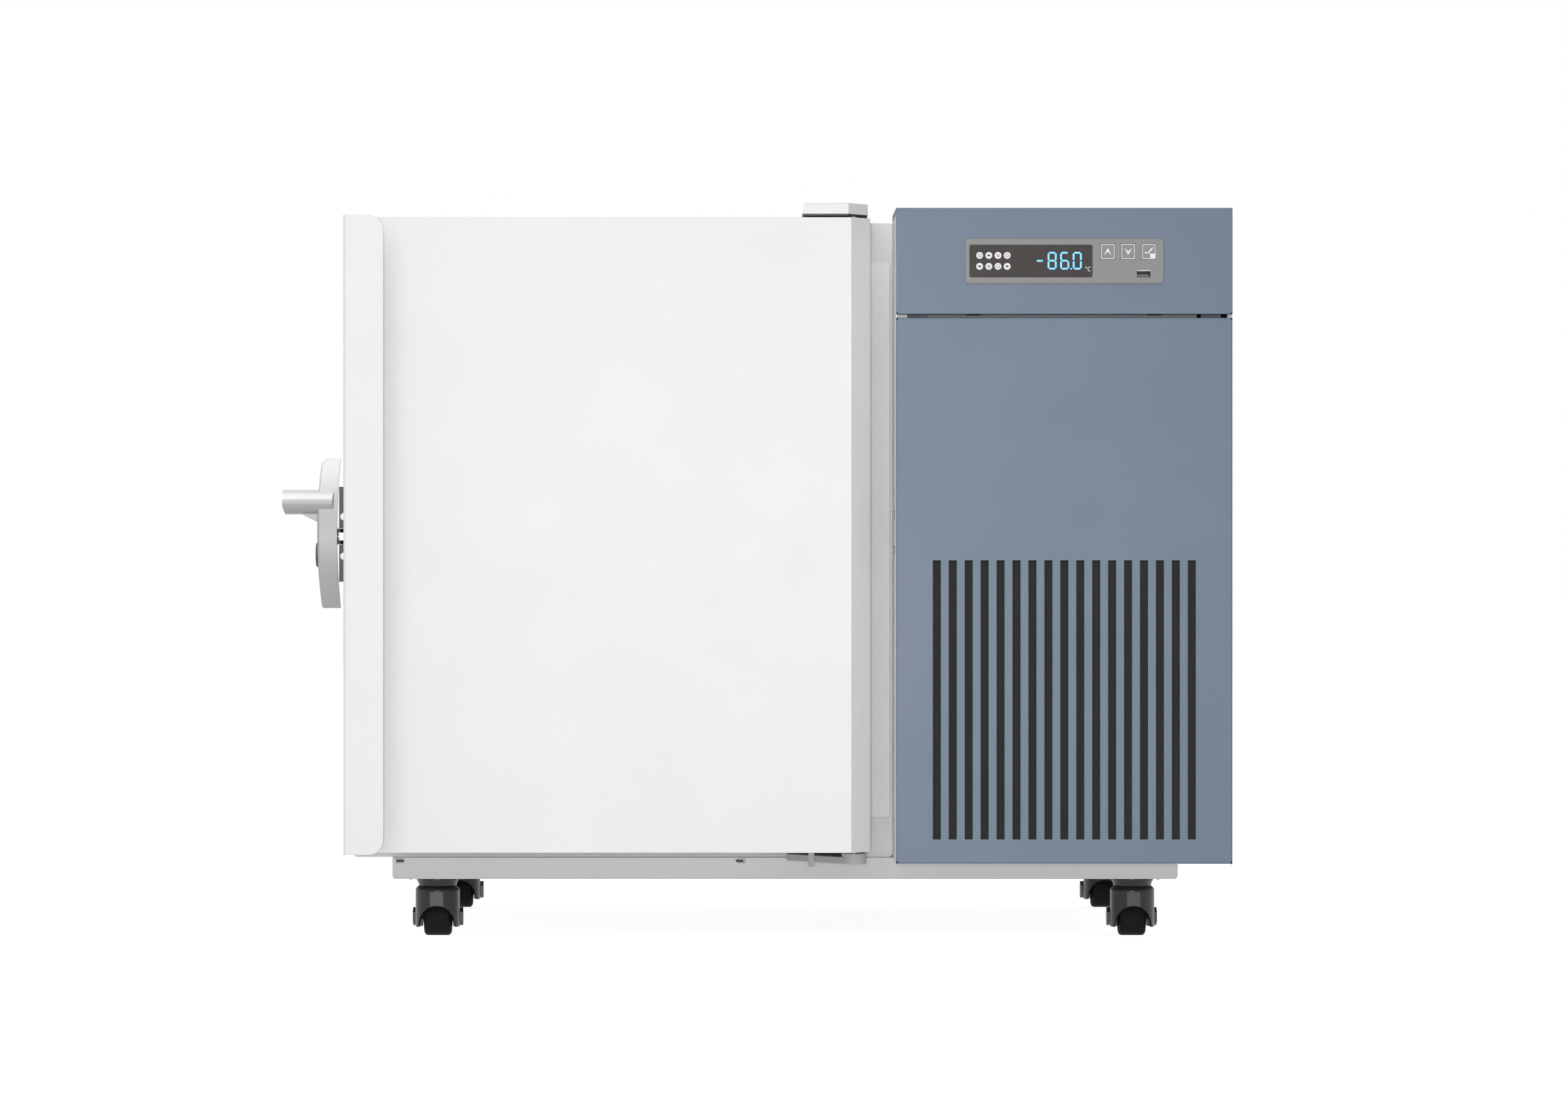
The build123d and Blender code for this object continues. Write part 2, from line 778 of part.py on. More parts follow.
def port_plug():
    # tapered foam stopper with a cap outside
    cap_t = 8.0
    y0 = y_back + port_rim_t
    face = outline(
        (0, y0 - 60), (port_r - 1.5, y0 - 60), (port_r - 0.2, y0), (port_r + 6, y0),
        (port_r + 6, y0 + cap_t), (0, y0 + cap_t),
    )
    plug = revolve(face, Axis.Y)
    return Pos(port_x, 0, port_z) * plug


# Hinges

def tangent_point(centre, r, point, turn):
    dx = point[0] - centre[0]
    dy = point[1] - centre[1]
    angle = math.atan2(dy, dx) + turn * math.acos(r / math.hypot(dx, dy))
    return (centre[0] + r * math.cos(angle), centre[1] + r * math.sin(angle))


def arm_outline(x0, y_left, y_root):
    # slanting arm with a round end about the hinge axis
    centre = (x_hinge, y_hinge)
    left = (x0, y_left)
    touch = tangent_point(centre, arm_r, left, 1)
    face = outline(touch, (x_hinge, y_hinge), (x_hinge + arm_r, y_hinge), (x_hinge + arm_r, y_root), (x0, y_root), left)
    return face + Pos(*centre) * Circle(arm_r)


def hinge_brackets():
    x0 = x_hinge + arm_r - arm_w
    y_left = y_hinge + arm_slant
    low = up_prism(arm_outline(x0, y_left, y_face), arm_z0, arm_z0 + arm_t)
    low += block(x0, x_hinge + arm_r, y_face - hinge_foot_t, y_face, arm_z0, arm_z0 + hinge_foot_h)
    low += rod_z(arm_r, arm_z0 + arm_t, boss_top, x_hinge, y_hinge)
    low -= block(x0 - 1, x_hinge + arm_r + 1, base_y0, y_face + 1, arm_z0 - 1, z_deck)
    low -= rod_z(hinge_pin_r, arm_z0 - 1, boss_top + 1, x_hinge, y_hinge)
    x0 = x_hinge - upper_arm_in
    y1 = y_face + upper_foot_d
    z1 = upper_arm_z + upper_arm_t
    high = up_prism(arm_outline(x0, y_hinge + upper_arm_slant, y1), upper_arm_z, z1)
    high += block(x0, x_hinge + arm_r, y_face + frame_t, y1, z_top, upper_arm_z)
    high &= up_prism(cover_outline(cover_wall + seat, y1 + 1), z_top, z1)
    high -= rod_z(hinge_pin_r, upper_arm_z - 1, z1 + 1, x_hinge, y_hinge)
    return group(low, high)


def hinge_pins():
    low = rod_z(hinge_pin_r, arm_z0, z_door + hinge_pin_in, x_hinge, y_hinge)
    low += rod_z(hinge_collar_r, boss_top, z_door - seat, x_hinge, y_hinge)
    high = rod_z(hinge_pin_r, z_top - hinge_pin_in, upper_arm_z + upper_arm_t, x_hinge, y_hinge)
    return group(low, high)


def cover_outline(inset, y_end):
    y0 = y_door + cover_set + inset
    corner = x_door - cover_corner_in - inset * 0.6
    side = x_door - cover_side_in - inset
    return outline(
        (cover_x0 + inset, y0), (corner, y0), (side, y0 + cover_chamfer_d - inset * 0.4), (side, y_end), (cover_x0 + inset, y_end)
    )


def hinge_cover():
    y_end = y_face + cover_foot_d
    body = up_prism(cover_outline(0, y_end), cover_z0, cover_z0 + cover_h)
    wedge = outline((cover_x0 - 1, cover_z0), (cover_x0, cover_z0), (cover_x0 + cover_draft, cover_z0 + cover_h + 1),
                    (cover_x0 - 1, cover_z0 + cover_h + 1))
    body -= back_prism(wedge, y_door, y_end + 1)
    rim = body.faces().sort_by(Axis.Z)[-1].outer_wire().edges()
    body = fillet(rim, 1.2)
    inside = up_prism(cover_outline(cover_wall, y_end - cover_wall), cover_z0 - 1, cover_z0 + cover_h - cover_wall)
    inside -= back_prism(Pos(cover_draft, 0) * wedge, y_door, y_end + 1)
    body -= inside
    # the cover's rear part reaches down to the cabinet's top
    skirt = up_prism(cover_outline(0, y_end), z_top, cover_z0) - block(-2000, 2000, -2000, y_face + 2, 0, 2000)
    skirt -= up_prism(cover_outline(cover_wall, y_end - cover_wall), z_top - 1, cover_z0 + 1)
    return body + skirt


def hinge_cover_base():
    y_end = y_face - 2
    plate = up_prism(cover_outline(0.6, y_end), cover_z0 - cover_base_t, cover_z0)
    return plate - rod_z(hinge_collar_r + 2, z_top, cover_z0 + 1, x_hinge, y_hinge)


def latch_strike():
    z0 = strike_z - strike_plate_h / 2
    plate_face = Pos(strike_y, strike_z) * RectangleRounded(strike_plate_w, strike_plate_h, 4)
    body = side_prism(plate_face, x_left - strike_plate_t, x_left)
    body += rod_x(strike_pin_r, x_left - strike_pin_l, x_left - strike_plate_t, strike_y, strike_z)
    for z in (z0 + 8, z0 + strike_plate_h - 8):
        body += rod_x(screw_head_r, x_left - strike_plate_t - 1.6, x_left - strike_plate_t, strike_y, z)
    return body


# Unit panels

def unit_left_panel():
    wall = block(x_split, x_split + skin_t, y_nose + blue_t, y_back, z_deck, z_top)
    for n in (0, 1):
        z = z_deck + wall_slot_up + (n - 0.5) * wall_slot_pitch
        slot = side_prism(
            Pos(y_nose + wall_slot_in, z) * SlotOverall(wall_slot_l, wall_slot_h), x_split - 1, x_split + 3
        )
        wall -= slot
    return wall


def unit_wrap():
    # right side and top behind the hood, folded from one sheet
    side = block(x_right - skin_t, x_right, y_nose + blue_t, y_back, z_deck, z_top)
    top = block(x_split + skin_t, x_right, y_nose + nose_d, y_back, z_top - skin_t, z_top)
    return side + top


def unit_floor():
    x0 = x_split + skin_t
    x1 = x_right - skin_t
    y0 = y_nose + blue_t + panel_return + 1
    lip = 14.0
    profile = outline(
        (y0, z_deck), (y_back - skin_t, z_deck), (y_back - skin_t, z_floor), (y0 + floor_t, z_floor),
        (y0 + floor_t, z_floor + lip), (y0, z_floor + lip),
    )
    return side_prism(profile, x0, x1)


def unit_rear_panel():
    x0 = x_split + skin_t
    x1 = x_right - skin_t
    body = block(x0, x1, y_back - skin_t, y_back, z_deck, z_top - skin_t)
    vents = []
    for column in (-1, 1):
        x = x_unit + column * (vent_w / 2 + 12)
        for n in range(vent_rows):
            z = z_deck + vent_low + n * vent_pitch
            vents.append(Pos(x, z) * SlotOverall(vent_w, vent_h))
    for vent in vents:
        body -= back_prism(vent, y_back - 3, y_back + 1)
    body -= block(inlet_x - inlet_w / 2, inlet_x + inlet_w / 2, y_back - 3, y_back + 1,
                  z_deck + inlet_z - inlet_h / 2, z_deck + inlet_z + inlet_h / 2)
    return body


def control_hood():
    # fascia and hood folded from one blue sheet, with short skirts at the sides
    profile = outline(
        (y_nose, z_fascia), (y_nose, z_hood), (y_face, z_hood), (y_face, z_hood - blue_t),
        (y_nose + blue_t, z_hood - blue_t), (y_nose + blue_t, z_fascia + blue_t),
        (y_nose + panel_return, z_fascia + blue_t), (y_nose + panel_return, z_fascia),
    )
    body = side_prism(profile, x_split, x_right)
    body -= block(x_split - 1, x_split + skin_t, y_nose + blue_t, y_nose + panel_return + 1, z_fascia - 1, z_top)
    body -= block(x_right - skin_t, x_right + 1, y_nose + blue_t, y_nose + panel_return + 1, z_fascia - 1, z_top)
    for x in (x_split, x_right - blue_t):
        body += block(x, x + blue_t, y_nose, y_face, z_top, z_hood)
    front = body.edges().filter_by(Axis.X).group_by(Axis.Y)[0].sort_by(Axis.Z)[-1:]
    body = fillet(front, blue_edge_r)
    body -= window_cut(y_nose - 1, y_nose + 3, seat)
    for n in range(3):
        body -= key_box(n, y_nose - 1, y_nose + 3, key_gap)
    return body - usb_box(y_nose - 1, y_nose + 3, 0)


def grille_panel():
    # blue panel with a return all round and a row of tall slots
    x0 = x_split
    x1 = x_right
    body = block(x0, x1, y_nose, y_nose + blue_t, z_panel0, z_panel1)
    inset = skin_t + seat
    pan = block(x0 + inset, x1 - inset, y_nose + blue_t, y_nose + panel_return, z_panel0, z_panel1)
    pan -= block(x0 + inset + blue_t, x1 - inset - blue_t, y_nose, y_nose + panel_return + 1,
                 z_panel0 + blue_t, z_panel1 - blue_t)
    body += pan
    front = body.faces().sort_by(Axis.Y)[0].outer_wire().edges()
    body = fillet(front, blue_edge_r)
    first = x_unit - (slot_count - 1) * slot_pitch / 2
    z0 = z_panel0 + slot_up
    slots = Sketch()
    for n in range(slot_count):
        slots += front_rect(first + n * slot_pitch - slot_w / 2, first + n * slot_pitch + slot_w / 2, z0, z0 + slot_h)
    return body - back_prism(slots, y_nose - 1, y_nose + blue_t + 1)


# Control panel

def window_cut(y0, y1, grow):
    x0 = bezel_x0 + window_in
    z = (bezel_z0 + bezel_z1) / 2
    half = window_h / 2 + grow
    return back_prism(front_rect(x0 - grow, x0 + window_w + grow, z - half, z + half, window_r), y0, y1)


def key_box(n, y0, y1, grow):
    x0 = bezel_x0 + key_first + n * key_pitch
    z1 = bezel_z1 - key_drop
    return back_prism(front_rect(x0 - grow, x0 + key_w + grow, z1 - key_h - grow, z1 + grow, key_r), y0, y1)


def usb_box(y0, y1, inset):
    x0 = bezel_x0 + usb_left
    z0 = bezel_z0 + usb_up
    return block(x0 + inset, x0 + usb_w - inset, y0, y1, z0 + inset, z0 + usb_h - inset)


def display_bezel():
    face = front_rect(bezel_x0, bezel_x0 + bezel_w, bezel_z0, bezel_z1, bezel_r)
    body = back_prism(face, y_nose - bezel_proud, y_nose)
    rim = body.faces().sort_by(Axis.Y)[0].outer_wire().edges()
    body = fillet(rim, 0.8)
    body -= window_cut(y_nose - 5, y_nose + 5, 0)
    for n in range(3):
        body -= key_box(n, y_nose - 5, y_nose + 5, key_gap)
    return body - usb_box(y_nose - 5, y_nose + 5, 0)


def display_window():
    y0 = y_nose - bezel_proud + window_set
    return window_cut(y0, y0 + window_t, 0)


def key(n):
    y0 = y_nose - bezel_proud
    cap = key_box(n, y0, y0 + key_skirt + key_travel, 0)
    return fillet(cap.faces().sort_by(Axis.Y)[0].outer_wire().edges(), 0.4)


def usb_socket():
    y0 = y_nose - bezel_proud + 0.2
    body = usb_box(y0, y0 + usb_depth, 0) - usb_box(y0 - 1, y0 + usb_depth - usb_wall, usb_wall)
    x0 = bezel_x0 + usb_left + 2
    z1 = bezel_z0 + usb_up + usb_h - usb_wall
    return body + block(x0, x0 + usb_w - 4, y0 + 2, y0 + usb_depth - usb_wall, z1 - usb_tongue_t, z1)


# Inside the unit

def controller_box():
    # electronics housing on a tray between the side walls, with the display board before it
    z0 = z_panel1 + 1
    y0 = y_nose + panel_return + 3
    tray = block(x_split + skin_t, x_right - skin_t, y0, y0 + box_d + 20, z0, z0 + box_tray_t)
    body = block(x_unit - box_w / 2, x_unit + box_w / 2, y0 + 10, y0 + 10 + box_d, z0 + box_tray_t, z0 + box_h)
    body = fillet(body.edges().filter_by(Axis.Z), 4)
    x0 = x_unit - bezel_w / 2 + 4
    board_y = y_nose + usb_depth
    board = block(x0, x0 + bezel_w - 8, board_y, y0 + 10, bezel_z0 + 3, z0 + box_h)
    return tray + body + board


def air_filter():
    w = (slot_count - 1) * slot_pitch + slot_w + 2 * filter_margin
    z0 = z_panel0 + slot_up - filter_margin
    h = slot_h + 2 * filter_margin
    x0 = x_unit - w / 2
    y0 = y_nose + blue_t
    body = block(x0, x0 + w, y0, y0 + filter_t, z0, z0 + h)
    rows = 3
    cell = (h - (rows + 1) * filter_bar) / rows
    for n in range(rows):
        z = z0 + filter_bar + n * (cell + filter_bar)
        body -= block(x0 + filter_bar, x0 + w - filter_bar, y0 + 4, y0 + filter_t + 1, z, z + cell)
    return body


def condenser():
    x0 = x_unit - condenser_w / 2
    x1 = x_unit + condenser_w / 2
    z0 = z_floor + condenser_lift
    z1 = z0 + condenser_h
    t = condenser_sheet
    fins = condenser_fin_in
    core = block(x0 + t, x1 - t, y_cond + fins, y_cond + condenser_t - fins, z0, z1)
    for x in (x0, x1 - t):
        core += block(x, x + t, y_cond, y_cond + condenser_t, z_floor, z1)
    pitch = condenser_h / bend_count
    for side, way in ((x0, -90), (x1, 90)):
        for n in range(bend_count):
            z = z0 + (n + 0.5) * pitch
            bend = Torus(pitch / 4, bend_tube_r, major_angle=180)
            core += Pos(side, y_cond + condenser_t / 2, z) * Rot(90, 0, 0) * Rot(0, 0, -way) * bend
    return core


def fan_shroud():
    x0 = x_unit - condenser_w / 2
    z0 = z_floor + condenser_lift
    plate = block(x0, x0 + condenser_w, y_shroud, y_shroud + shroud_t, z0, z0 + condenser_h)
    plate += rod_y(shroud_r + 3, y_shroud, y_shroud + shroud_collar, x_unit, fan_z)
    return plate - rod_y(shroud_r, y_shroud - 1, y_shroud + shroud_collar + 1, x_unit, fan_z)


def fan_blade():
    # hub with pitched blades, each a thick helical slice cut to the ring's size
    y0 = y_shroud + 3
    hub = rod_y(fan_hub_r, y0, y0 + fan_hub_l, 0, 0)
    hub = fillet(hub.edges().group_by(Axis.Y)[0], 5)
    tip = shroud_r - fan_tip_gap
    span = tip - fan_hub_r + 4
    blade = Pos(fan_hub_r - 4 + span / 2, 0, 0) * Rot(blade_pitch, 0, 0) * Box(span, blade_t, 74)
    ring = rod_y(tip, y0, y0 + fan_hub_l, 0, 0)
    body = hub
    middle = Pos(0, y0 + fan_hub_l / 2, 0)
    for n in range(fan_blades):
        wing = middle * Rot(0, n * 360 / fan_blades, 0) * blade
        body += wing & ring
    body -= rod_y(motor_shaft_r + fit, y0 + 6, y0 + fan_hub_l + 1, 0, 0)
    return Pos(x_unit, 0, fan_z) * body


def fan_motor():
    y0 = y_shroud + 3 + fan_hub_l + motor_gap
    body = rod_y(motor_r, y0, y0 + motor_l, x_unit, fan_z)
    body = fillet(body.edges().group_by(Axis.Y)[-1], 6)
    body += rod_y(motor_shaft_r, y_shroud + 10, y0, x_unit, fan_z)
    reach = shroud_r + 16
    arm_y0 = y0 + 4
    for n in range(3):
        arm = block(0, reach, arm_y0, arm_y0 + motor_arm_t, -motor_arm_w / 2, motor_arm_w / 2)
        arm += block(reach - 4, reach, y_shroud + shroud_t, arm_y0 + motor_arm_t, -motor_arm_w / 2, motor_arm_w / 2)
        body += Pos(x_unit, 0, fan_z) * Rot(0, 90 + n * 120, 0) * arm
    return body


def compressor():
    # welded pot on a foot plate, with flat-ended pipe stubs on its shoulder
    z1 = comp_z0 + foot_plate_t
    top = z1 + compressor_h
    mid = top - compressor_dome
    crown = 0.2 * compressor_r
    dome = ThreePointArc(
        (compressor_r, mid), (compressor_r * 0.78, top - compressor_dome * 0.3), (crown, top)
    )
    rest = Polyline(
        (crown, top), (0, top), (0, z1), (compressor_r - 16, z1), (compressor_r, z1 + 12), (compressor_r, mid)
    )
    body = revolve(Plane.XZ * make_face(dome + rest), Axis.Z)
    z_seam = z1 + compressor_h * 0.55
    body += rod_z(seam_r, z_seam, z_seam + seam_t, 0, 0)
    body = Pos(x_unit, y_comp, 0) * body
    foot = up_prism(Pos(x_unit, y_comp) * RectangleRounded(foot_plate_w, foot_plate_d, 18), comp_z0, z1)
    body += foot
    for x, y in pipe_starts():
        body += rod_z(pipe_r + 2, z1 + 60, top - 6, x, y)
    return body


def pipe_starts():
    side = compressor_r * stub_side
    y = y_comp - compressor_r * stub_front
    return ((x_unit - side, y), (x_unit + side, y))


def bent_pipe(points):
    path = FilletPolyline(*points, radius=pipe_bend)
    first = Vector(*points[0])
    way = Vector(*points[1]) - first
    return sweep(Plane(origin=first, z_dir=way) * Circle(pipe_r), path)


def refrigerant_lines():
    # discharge line to the condenser, suction line from the cabinet, and the drier on the liquid line
    left, right = pipe_starts()
    cond_top = z_floor + condenser_lift + condenser_h
    z_run = cond_top + run_up
    z_suction = z_run + suction_up
    x_cond = x_unit + condenser_w / 2 - discharge_in
    y_mid = y_cond + condenser_t / 2
    discharge = bent_pipe([
        (*right, stub_top), (*right, z_run), (x_cond, right[1] - discharge_turn, z_run), (x_cond, y_mid, z_run),
        (x_cond, y_mid, cond_top),
    ])
    suction = bent_pipe([
        (*left, stub_top), (*left, z_suction), (x_split + skin_t, left[1], z_suction)
    ])
    x_dry = x_unit - condenser_w / 2 + drier_in
    z_dry = cond_top + drier_up
    drier = rod_z(drier_r, z_dry, z_dry + drier_l, x_dry, y_mid)
    drier += rod_z(pipe_r, cond_top, z_dry, x_dry, y_mid)
    z_end = z_dry + drier_l
    z_liquid = z_end + liquid_up
    y_turn = y_mid + liquid_reach
    liquid = bent_pipe([
        (x_dry, y_mid, z_end), (x_dry, y_mid, z_liquid), (x_dry, y_turn, z_liquid), (x_split + skin_t, y_turn, z_liquid)
    ])
    return group(discharge, suction, drier + liquid)


def rubber_pads():
    solids = []
    for dx in (-1, 1):
        for dy in (-1, 1):
            x = x_unit + dx * (foot_plate_w / 2 - 20)
            y = y_comp + dy * (foot_plate_d / 2 - 20)
            solids.append(rod_z(grommet_r, z_floor, comp_z0, x, y))
    for x in (x_left + bumper_in, x_split - bumper_in):
        for z in (z_deck + bumper_in, z_top - bumper_in):
            pad = rod_y(bumper_r, y_back, y_back + bumper_t, x, z)
            solids.append(fillet(pad.edges().group_by(Axis.Y)[-1], 4))
    return group(*solids)


def mains_inlet():
    # appliance inlet and switch housing in one rear module
    y1 = y_back + inlet_rim_t
    rim = back_prism(
        Pos(inlet_x, inlet_cz) * RectangleRounded(inlet_w + 2 * inlet_rim, inlet_h + 2 * inlet_rim, 4), y_back, y1
    )
    body = rim + block(inlet_x - inlet_w / 2, inlet_x + inlet_w / 2, y_back - inlet_body_d, y_back,
                       inlet_cz - inlet_h / 2, inlet_cz + inlet_h / 2)
    deep = y_back - inlet_body_d + 4
    body -= block(socket_x - inlet_socket_w / 2, socket_x + inlet_socket_w / 2, deep, y1 + 1,
                  inlet_cz - inlet_socket_h / 2, inlet_cz + inlet_socket_h / 2)
    for x, z in ((-7, -3), (0, 3.5), (7, -3)):
        body += block(socket_x + x - inlet_pin_w / 2, socket_x + x + inlet_pin_w / 2, deep, y1 - 2,
                      inlet_cz + z - inlet_pin_h / 2, inlet_cz + z + inlet_pin_h / 2)
    half_w = rocker_w / 2 + rocker_gap
    half_h = rocker_h / 2 + rocker_room
    body -= block(rocker_x - half_w, rocker_x + half_w, y_back - 14, y1 + 1, inlet_cz - half_h, inlet_cz + half_h)
    return body - rod_x(rocker_pin_r, rocker_x - half_w - 3, rocker_x + half_w + 3, y_rocker, inlet_cz)


def power_switch():
    # rocker at rest in its ON tilt, turning on two stub pins
    crown = 3.5
    half = rocker_h / 2
    tilt = math.tan(math.radians(rocker_throw / 2)) * half
    top = y_back + inlet_rim_t + crown - 1.5
    face = outline(
        (y_rocker - 5, inlet_cz - half * 0.7), (y_rocker - 5, inlet_cz + half * 0.7),
        (top - tilt, inlet_cz + half), (top - 1.6, inlet_cz), (top + tilt, inlet_cz - half),
    )
    body = side_prism(face, rocker_x - rocker_w / 2, rocker_x + rocker_w / 2)
    reach = rocker_w / 2 + rocker_gap + 2
    return body + rod_x(rocker_pin_r - fit, rocker_x - reach, rocker_x + reach, y_rocker, inlet_cz)


# Door

def door_plan(inset, y_end):
    slope = math.hypot(chamfer_w, chamfer_d)
    cut_x = inset * (slope - chamfer_w) / chamfer_d
    cut_y = inset * (slope - chamfer_d) / chamfer_w
    return outline(
        (x_left + inset, y_door + inset), (x_door - chamfer_w - cut_x, y_door + inset),
        (x_door - inset, y_door + chamfer_d + cut_y), (x_door - inset, y_end), (x_left + inset, y_end),
    )


def hinge_hole(r):
    low = rod_z(r, z_door - 1, z_door + bush_h, x_hinge, y_hinge)
    return low + rod_z(r, z_top - bush_h, z_top + 1, x_hinge, y_hinge)


def door_shell():
    y_end = y_door_back - plinth_t
    body = up_prism(door_plan(0, y_end), z_door, z_top)
    rim = body.faces().sort_by(Axis.Y)[0].outer_wire().edges()
    body = fillet(rim, 0.8)
    body -= up_prism(door_plan(skin_t, y_end + 1), z_door + skin_t, z_top - skin_t)
    return body - hinge_hole(bush_r)


def door_foam():
    y_end = y_door_back - plinth_t
    body = up_prism(door_plan(skin_t, y_end), z_door + skin_t, z_top - skin_t)
    return body - hinge_hole(bush_r)


def pull_flange():
    # channel on the free edge: foot on the door's face, web, and a lip to pull behind
    x0 = x_left
    y0 = y_nose
    section = outline(
        (x0, y_door), (x0, y0), (x0 + flange_w, y0), (x0 + flange_w, y0 + flange_t),
        (x0 + flange_t, y0 + flange_t), (x0 + flange_t, y_door - flange_t),
        (x0 + flange_foot_w, y_door - flange_t), (x0 + flange_foot_w, y_door),
    )
    body = up_prism(section, z_door, z_top)
    outer = [e for e in body.edges().filter_by(Axis.Z) if abs(e.center().X - x0) < 0.01]
    front_bend = min(outer, key=lambda e: e.center().Y)
    body = fillet(front_bend, flange_bend_r)
    lip_edges = [
        e for e in body.edges().filter_by(Axis.Y)
        if abs(e.center().X - x0 - flange_w) < 0.01
    ]
    return fillet(lip_edges, lip_r)


def door_inner_panel():
    y0 = y_door_back - plinth_t
    body = up_prism(
        outline((x_left, y0), (x_door, y0), (x_door, y_door_back), (x_left, y_door_back)), z_door, z_top
    )
    pan = mouth(gasket_margin - 4, y_door_back, y_door_back + pan_rise)
    pan = fillet(pan.edges().filter_by(Axis.Y), 14)
    pan = fillet(pan.faces().sort_by(Axis.Y)[-1].outer_wire().edges(), 4)
    return body + pan


def gasket():
    # bellows seal: base strip, hollow waist and magnet strip
    back = y_door_back + gasket_t - seat
    ring = mouth(gasket_in, y_door_back, back)
    ring = fillet(ring.edges().filter_by(Axis.Y), 10)
    ring -= mouth(gasket_margin, y_door_back - 1, back + 1)
    waist_y0 = y_door_back + 4
    waist_y1 = back - 3.5
    depth = 4.0
    groove = mouth(gasket_in + 10, waist_y0, waist_y1) - mouth(gasket_in - depth, waist_y0 - 1, waist_y1 + 1)
    return ring - groove


def door_fittings():
    # hinge bushes, the stop tab under the door and the screws of the handle's mount
    solids = []
    for z0 in (z_door, z_top - bush_h):
        bush = rod_z(bush_r, z0, z0 + bush_h, x_hinge, y_hinge)
        hole = rod_z(hinge_pin_r + fit, z0 - 1, z0 + bush_h + 1, x_hinge, y_hinge)
        solids.append(bush - hole)
    tab_x = x_hinge - tab_in
    y0 = y_door + tab_set
    tab = block(tab_x, tab_x + tab_w, y0, y0 + tab_t, z_door - tab_drop, z_door)
    tab += block(tab_x, tab_x + tab_w, y0, y0 + tab_l, z_door - tab_t, z_door)
    solids.append(tab)
    y1 = y_handle - mount_w / 2
    for z in (z_pivot + handle_screw_rise, z_pivot - handle_screw_rise):
        head = rod_y(screw_head_r, y1 - screw_head_t, y1, x_left - handle_screw_out, z)
        head = fillet(head.edges().group_by(Axis.Y)[0], 1.4)
        head += rod_y(screw_shank_r, y1, y1 + screw_shank_l, x_left - handle_screw_out, z)
        solids.append(head)
    return group(*solids)


# Handle and latch

def handle_mount():
    x0 = x_left
    y0 = y_handle - mount_w / 2
    y1 = y_handle + mount_w / 2
    body = block(x0 - mount_t, x0, y0, y1, z_pivot - mount_down, z_pivot + mount_up)
    body = fillet(body.edges().filter_by(Axis.X).group_by(Axis.Y)[-1], mount_corner_r)
    half = mount_notch_h / 2
    body -= block(x0 - mount_t - 1, x0 - mount_floor_t, y0 - 1, y1 + 1, z_pivot - half, z_pivot + half)
    body -= rod_x(spindle_r + fit, x0 - mount_t - 1, x0 - spindle_end, y_handle, z_pivot)
    for z in (z_pivot + handle_screw_rise, z_pivot - handle_screw_rise):
        body -= rod_y(screw_shank_r + 0.02, y0 - 1, y0 + screw_shank_l + 0.1, x0 - handle_screw_out, z)
    return body


def lever_front_outline(mid_in, tip_in):
    # seen from the front: a bow that stands off the door's side, its upper outer corner rounded
    z0 = z_pivot - lever_down
    z1 = z_pivot + lever_up
    outer = ThreePointArc((x_left - lever_tip_out, z0), (x_left - lever_out, z_pivot), (x_left - lever_tip_out, z1))
    inner = ThreePointArc((x_left - tip_in, z1), (x_left - mid_in, z_pivot), (x_left - tip_in, z0))
    ends = Line(outer @ 1, inner @ 0) + Line(inner @ 1, outer @ 0)
    face = make_face(outer + inner + ends)
    corners = face.vertices().sort_by(Axis.X)[:2].sort_by(Axis.Y)
    face = fillet(corners[1], lever_corner_r)
    toe = face.vertices().sort_by(Axis.Y)[:2].sort_by(Axis.X)[0]
    return fillet(toe, lever_toe_r)


def lever_side_outline(thick):
    # seen from the side: the front edge swells towards the user; a thickness gives the front skin alone
    z0 = z_pivot - lever_down
    z1 = z_pivot + lever_up
    tip = y_handle - lever_tip_front
    mid = y_handle - lever_front
    front = ThreePointArc((tip, z0), (mid, z_pivot), (tip, z1))
    if thick:
        rear = ThreePointArc((tip + thick, z1), (mid + thick, z_pivot), (tip + thick, z0))
    else:
        tip = y_handle + lever_tip_rear
        rear = ThreePointArc((tip, z1), (y_handle + lever_rear, z_pivot), (tip, z0))
    ends = Line(front @ 1, rear @ 0) + Line(rear @ 1, front @ 0)
    return make_face(front + rear + ends)


